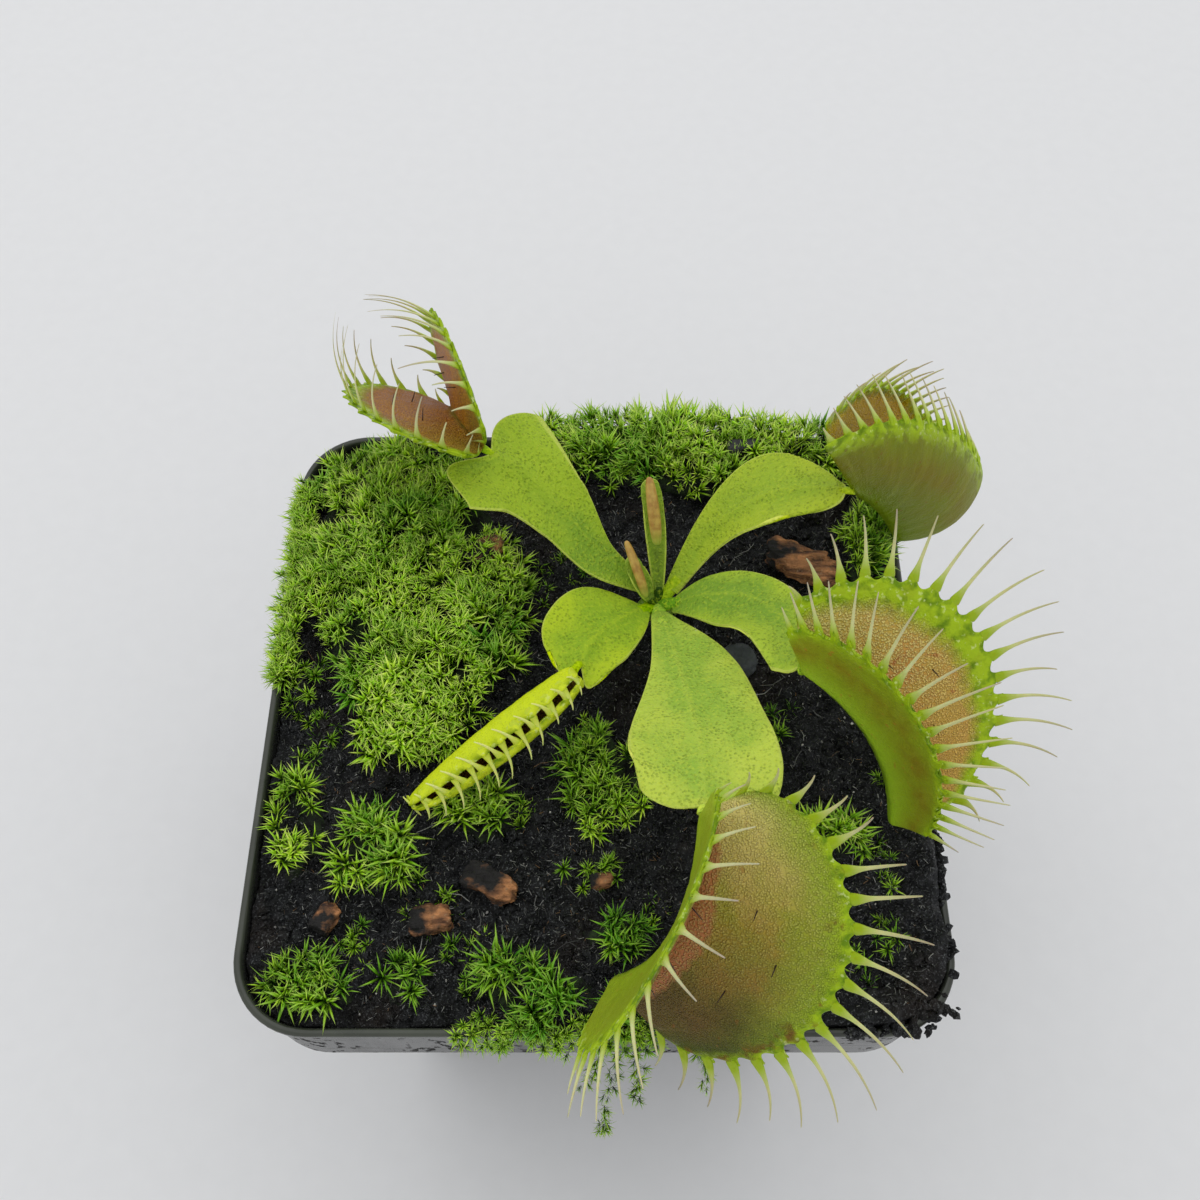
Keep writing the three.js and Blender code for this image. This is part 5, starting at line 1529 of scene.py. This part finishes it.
MOSS_LOOK = {                             # freshness, gaps, share filled, degrees upright, core's depth
    "left": (0.7, 0.26, 1.0, 22, 2.3), "left_edge": (0.6, 0.8, 0.9, 5, 2.4),
    "left_inner": (0.5, 0.95, 0.9, 0, 2.6), "left_tuft": (0.3, 0.8, 0.95, 0, 2.4),
    "back": (0.78, 0.18, 1.0, 22, 2.2), "back_right": (0.68, 0.4, 1.0, 12, 2.2),
    "front_left": (0.5, 0.9, 0.9, 0, 2.5), "front_inner": (0.35, 0.9, 0.9, 0, 2.5),
    "front": (0.34, 0.9, 0.85, 0, 3.2), "centre": (0.85, 0.5, 1.0, 0, 2.2),
    "centre_tuft": (0.15, 0.7, 0.95, 0, 2.2), "right_tuft": (0.12, 0.9, 0.95, 0, 2.2)}
SPACING = {"left": 1.2, "back": 1.2}
MOST_SHOOTS = 900                         # in one piece, which keeps its triangles under 200 000

for k, (name, cushion) in enumerate(MOSS.items()):
    phase = 1.7 * k
    fresh, patchy, fill, upright, sunk = MOSS_LOOK[name]
    make(f"moss_core_{name}", cushion_core(cushion, phase, sunk), core.material, [f"moss_{name}"])
    plants = planted(cushion, phase, SPACING.get(name, 1.3), fresh, patchy, fill)
    for batch in range(-(-len(plants[0]) // MOST_SHOOTS)):
        some = [values[batch * MOST_SHOOTS:(batch + 1) * MOST_SHOOTS] for values in plants]
        make(f"moss_shoots_{name}_{batch}", shoots(*some, upright), moss.material)

# %% [markdown]
# Between the cushions single shoots have taken hold in the mix. Rows of them have climbed onto the front
# and left rims, and four thin strands hang out from the front one.

# %% Loose shoots and hanging strands
STRAYS = np.array([[-19.2, -28.5], [-16.7, -33.6], [-14.6, -38], [1.6, -23.6], [-0.8, -24.6], [-40.9, 4.7],
                   [-41.1, 0], [-38.4, -8.2], [-37.4, -3.6], [36.9, -25.5], [36.4, -21], [37, -33], [26, -2],
                   [24, -5], [-9, -15], [-30, -33], [33, -36], [-24, -27], [8, -30], [-5.6, 24], [-3, 20.5],
                   [-9.4, 18.4], [40, -12]])
x = np.linspace(-15.5, 7, 12)
y = np.linspace(3, 34, 20)
ground = np.column_stack([STRAYS, soil_height(*STRAYS.T) - 0.2])
over_rim = np.column_stack([x, -RIM_HALF - 0.6 * np.sin(x), 0 * x + POT_HEIGHT - 0.2])
over_side = np.column_stack([0 * y - 43.3, y, 0 * y + POT_HEIGHT])
STRANDS = [                               # root, tip and number of shoots
    ([3.4, -44.6, 79.8], [0.6, -55, 72.5], 26), ([5.4, -45, 79.6], [5.2, -51, 75], 18),
    ([12.2, -45, 79.6], [13.8, -49.8, 76.5], 13), ([2, -44.8, 79.8], [-1.2, -50, 76], 14)]
hung = []
for start, end, shoots_each in STRANDS:
    w = np.linspace(0, 1, shoots_each)[:, None]
    arch = np.array([0, 0, 1.2]) * 4 * w * (1 - w)
    hung.append(np.array(start) + w * (np.array(end) - np.array(start)) + arch)

LOOSE = {               # centres, spread, shoots at each, direction, freshness, size, degrees upright
    "strays": (ground, [2.6, 2.6, 0.3], 7, [0, 0, 0], 0.35, 0.9, 0),
    "on_rim": (over_rim, [1.8, 1.5, 0.6], 12, [0, -0.6, 0], 0.6, 0.75, 0),
    "on_side": (over_side, [1.3, 1.6, 0.6], 12, [-0.35, 0, 0], 0.7, 1.1, 15),
    "strands": (np.concatenate(hung), [0.5, 0.5, 0.5], 1, [0, -0.7, -1.3], 0.6, 0.62, 0)}
for name, (*where, upright) in LOOSE.items():
    make(f"moss_{name}", shoots(*clumps(*where), upright), moss.material)
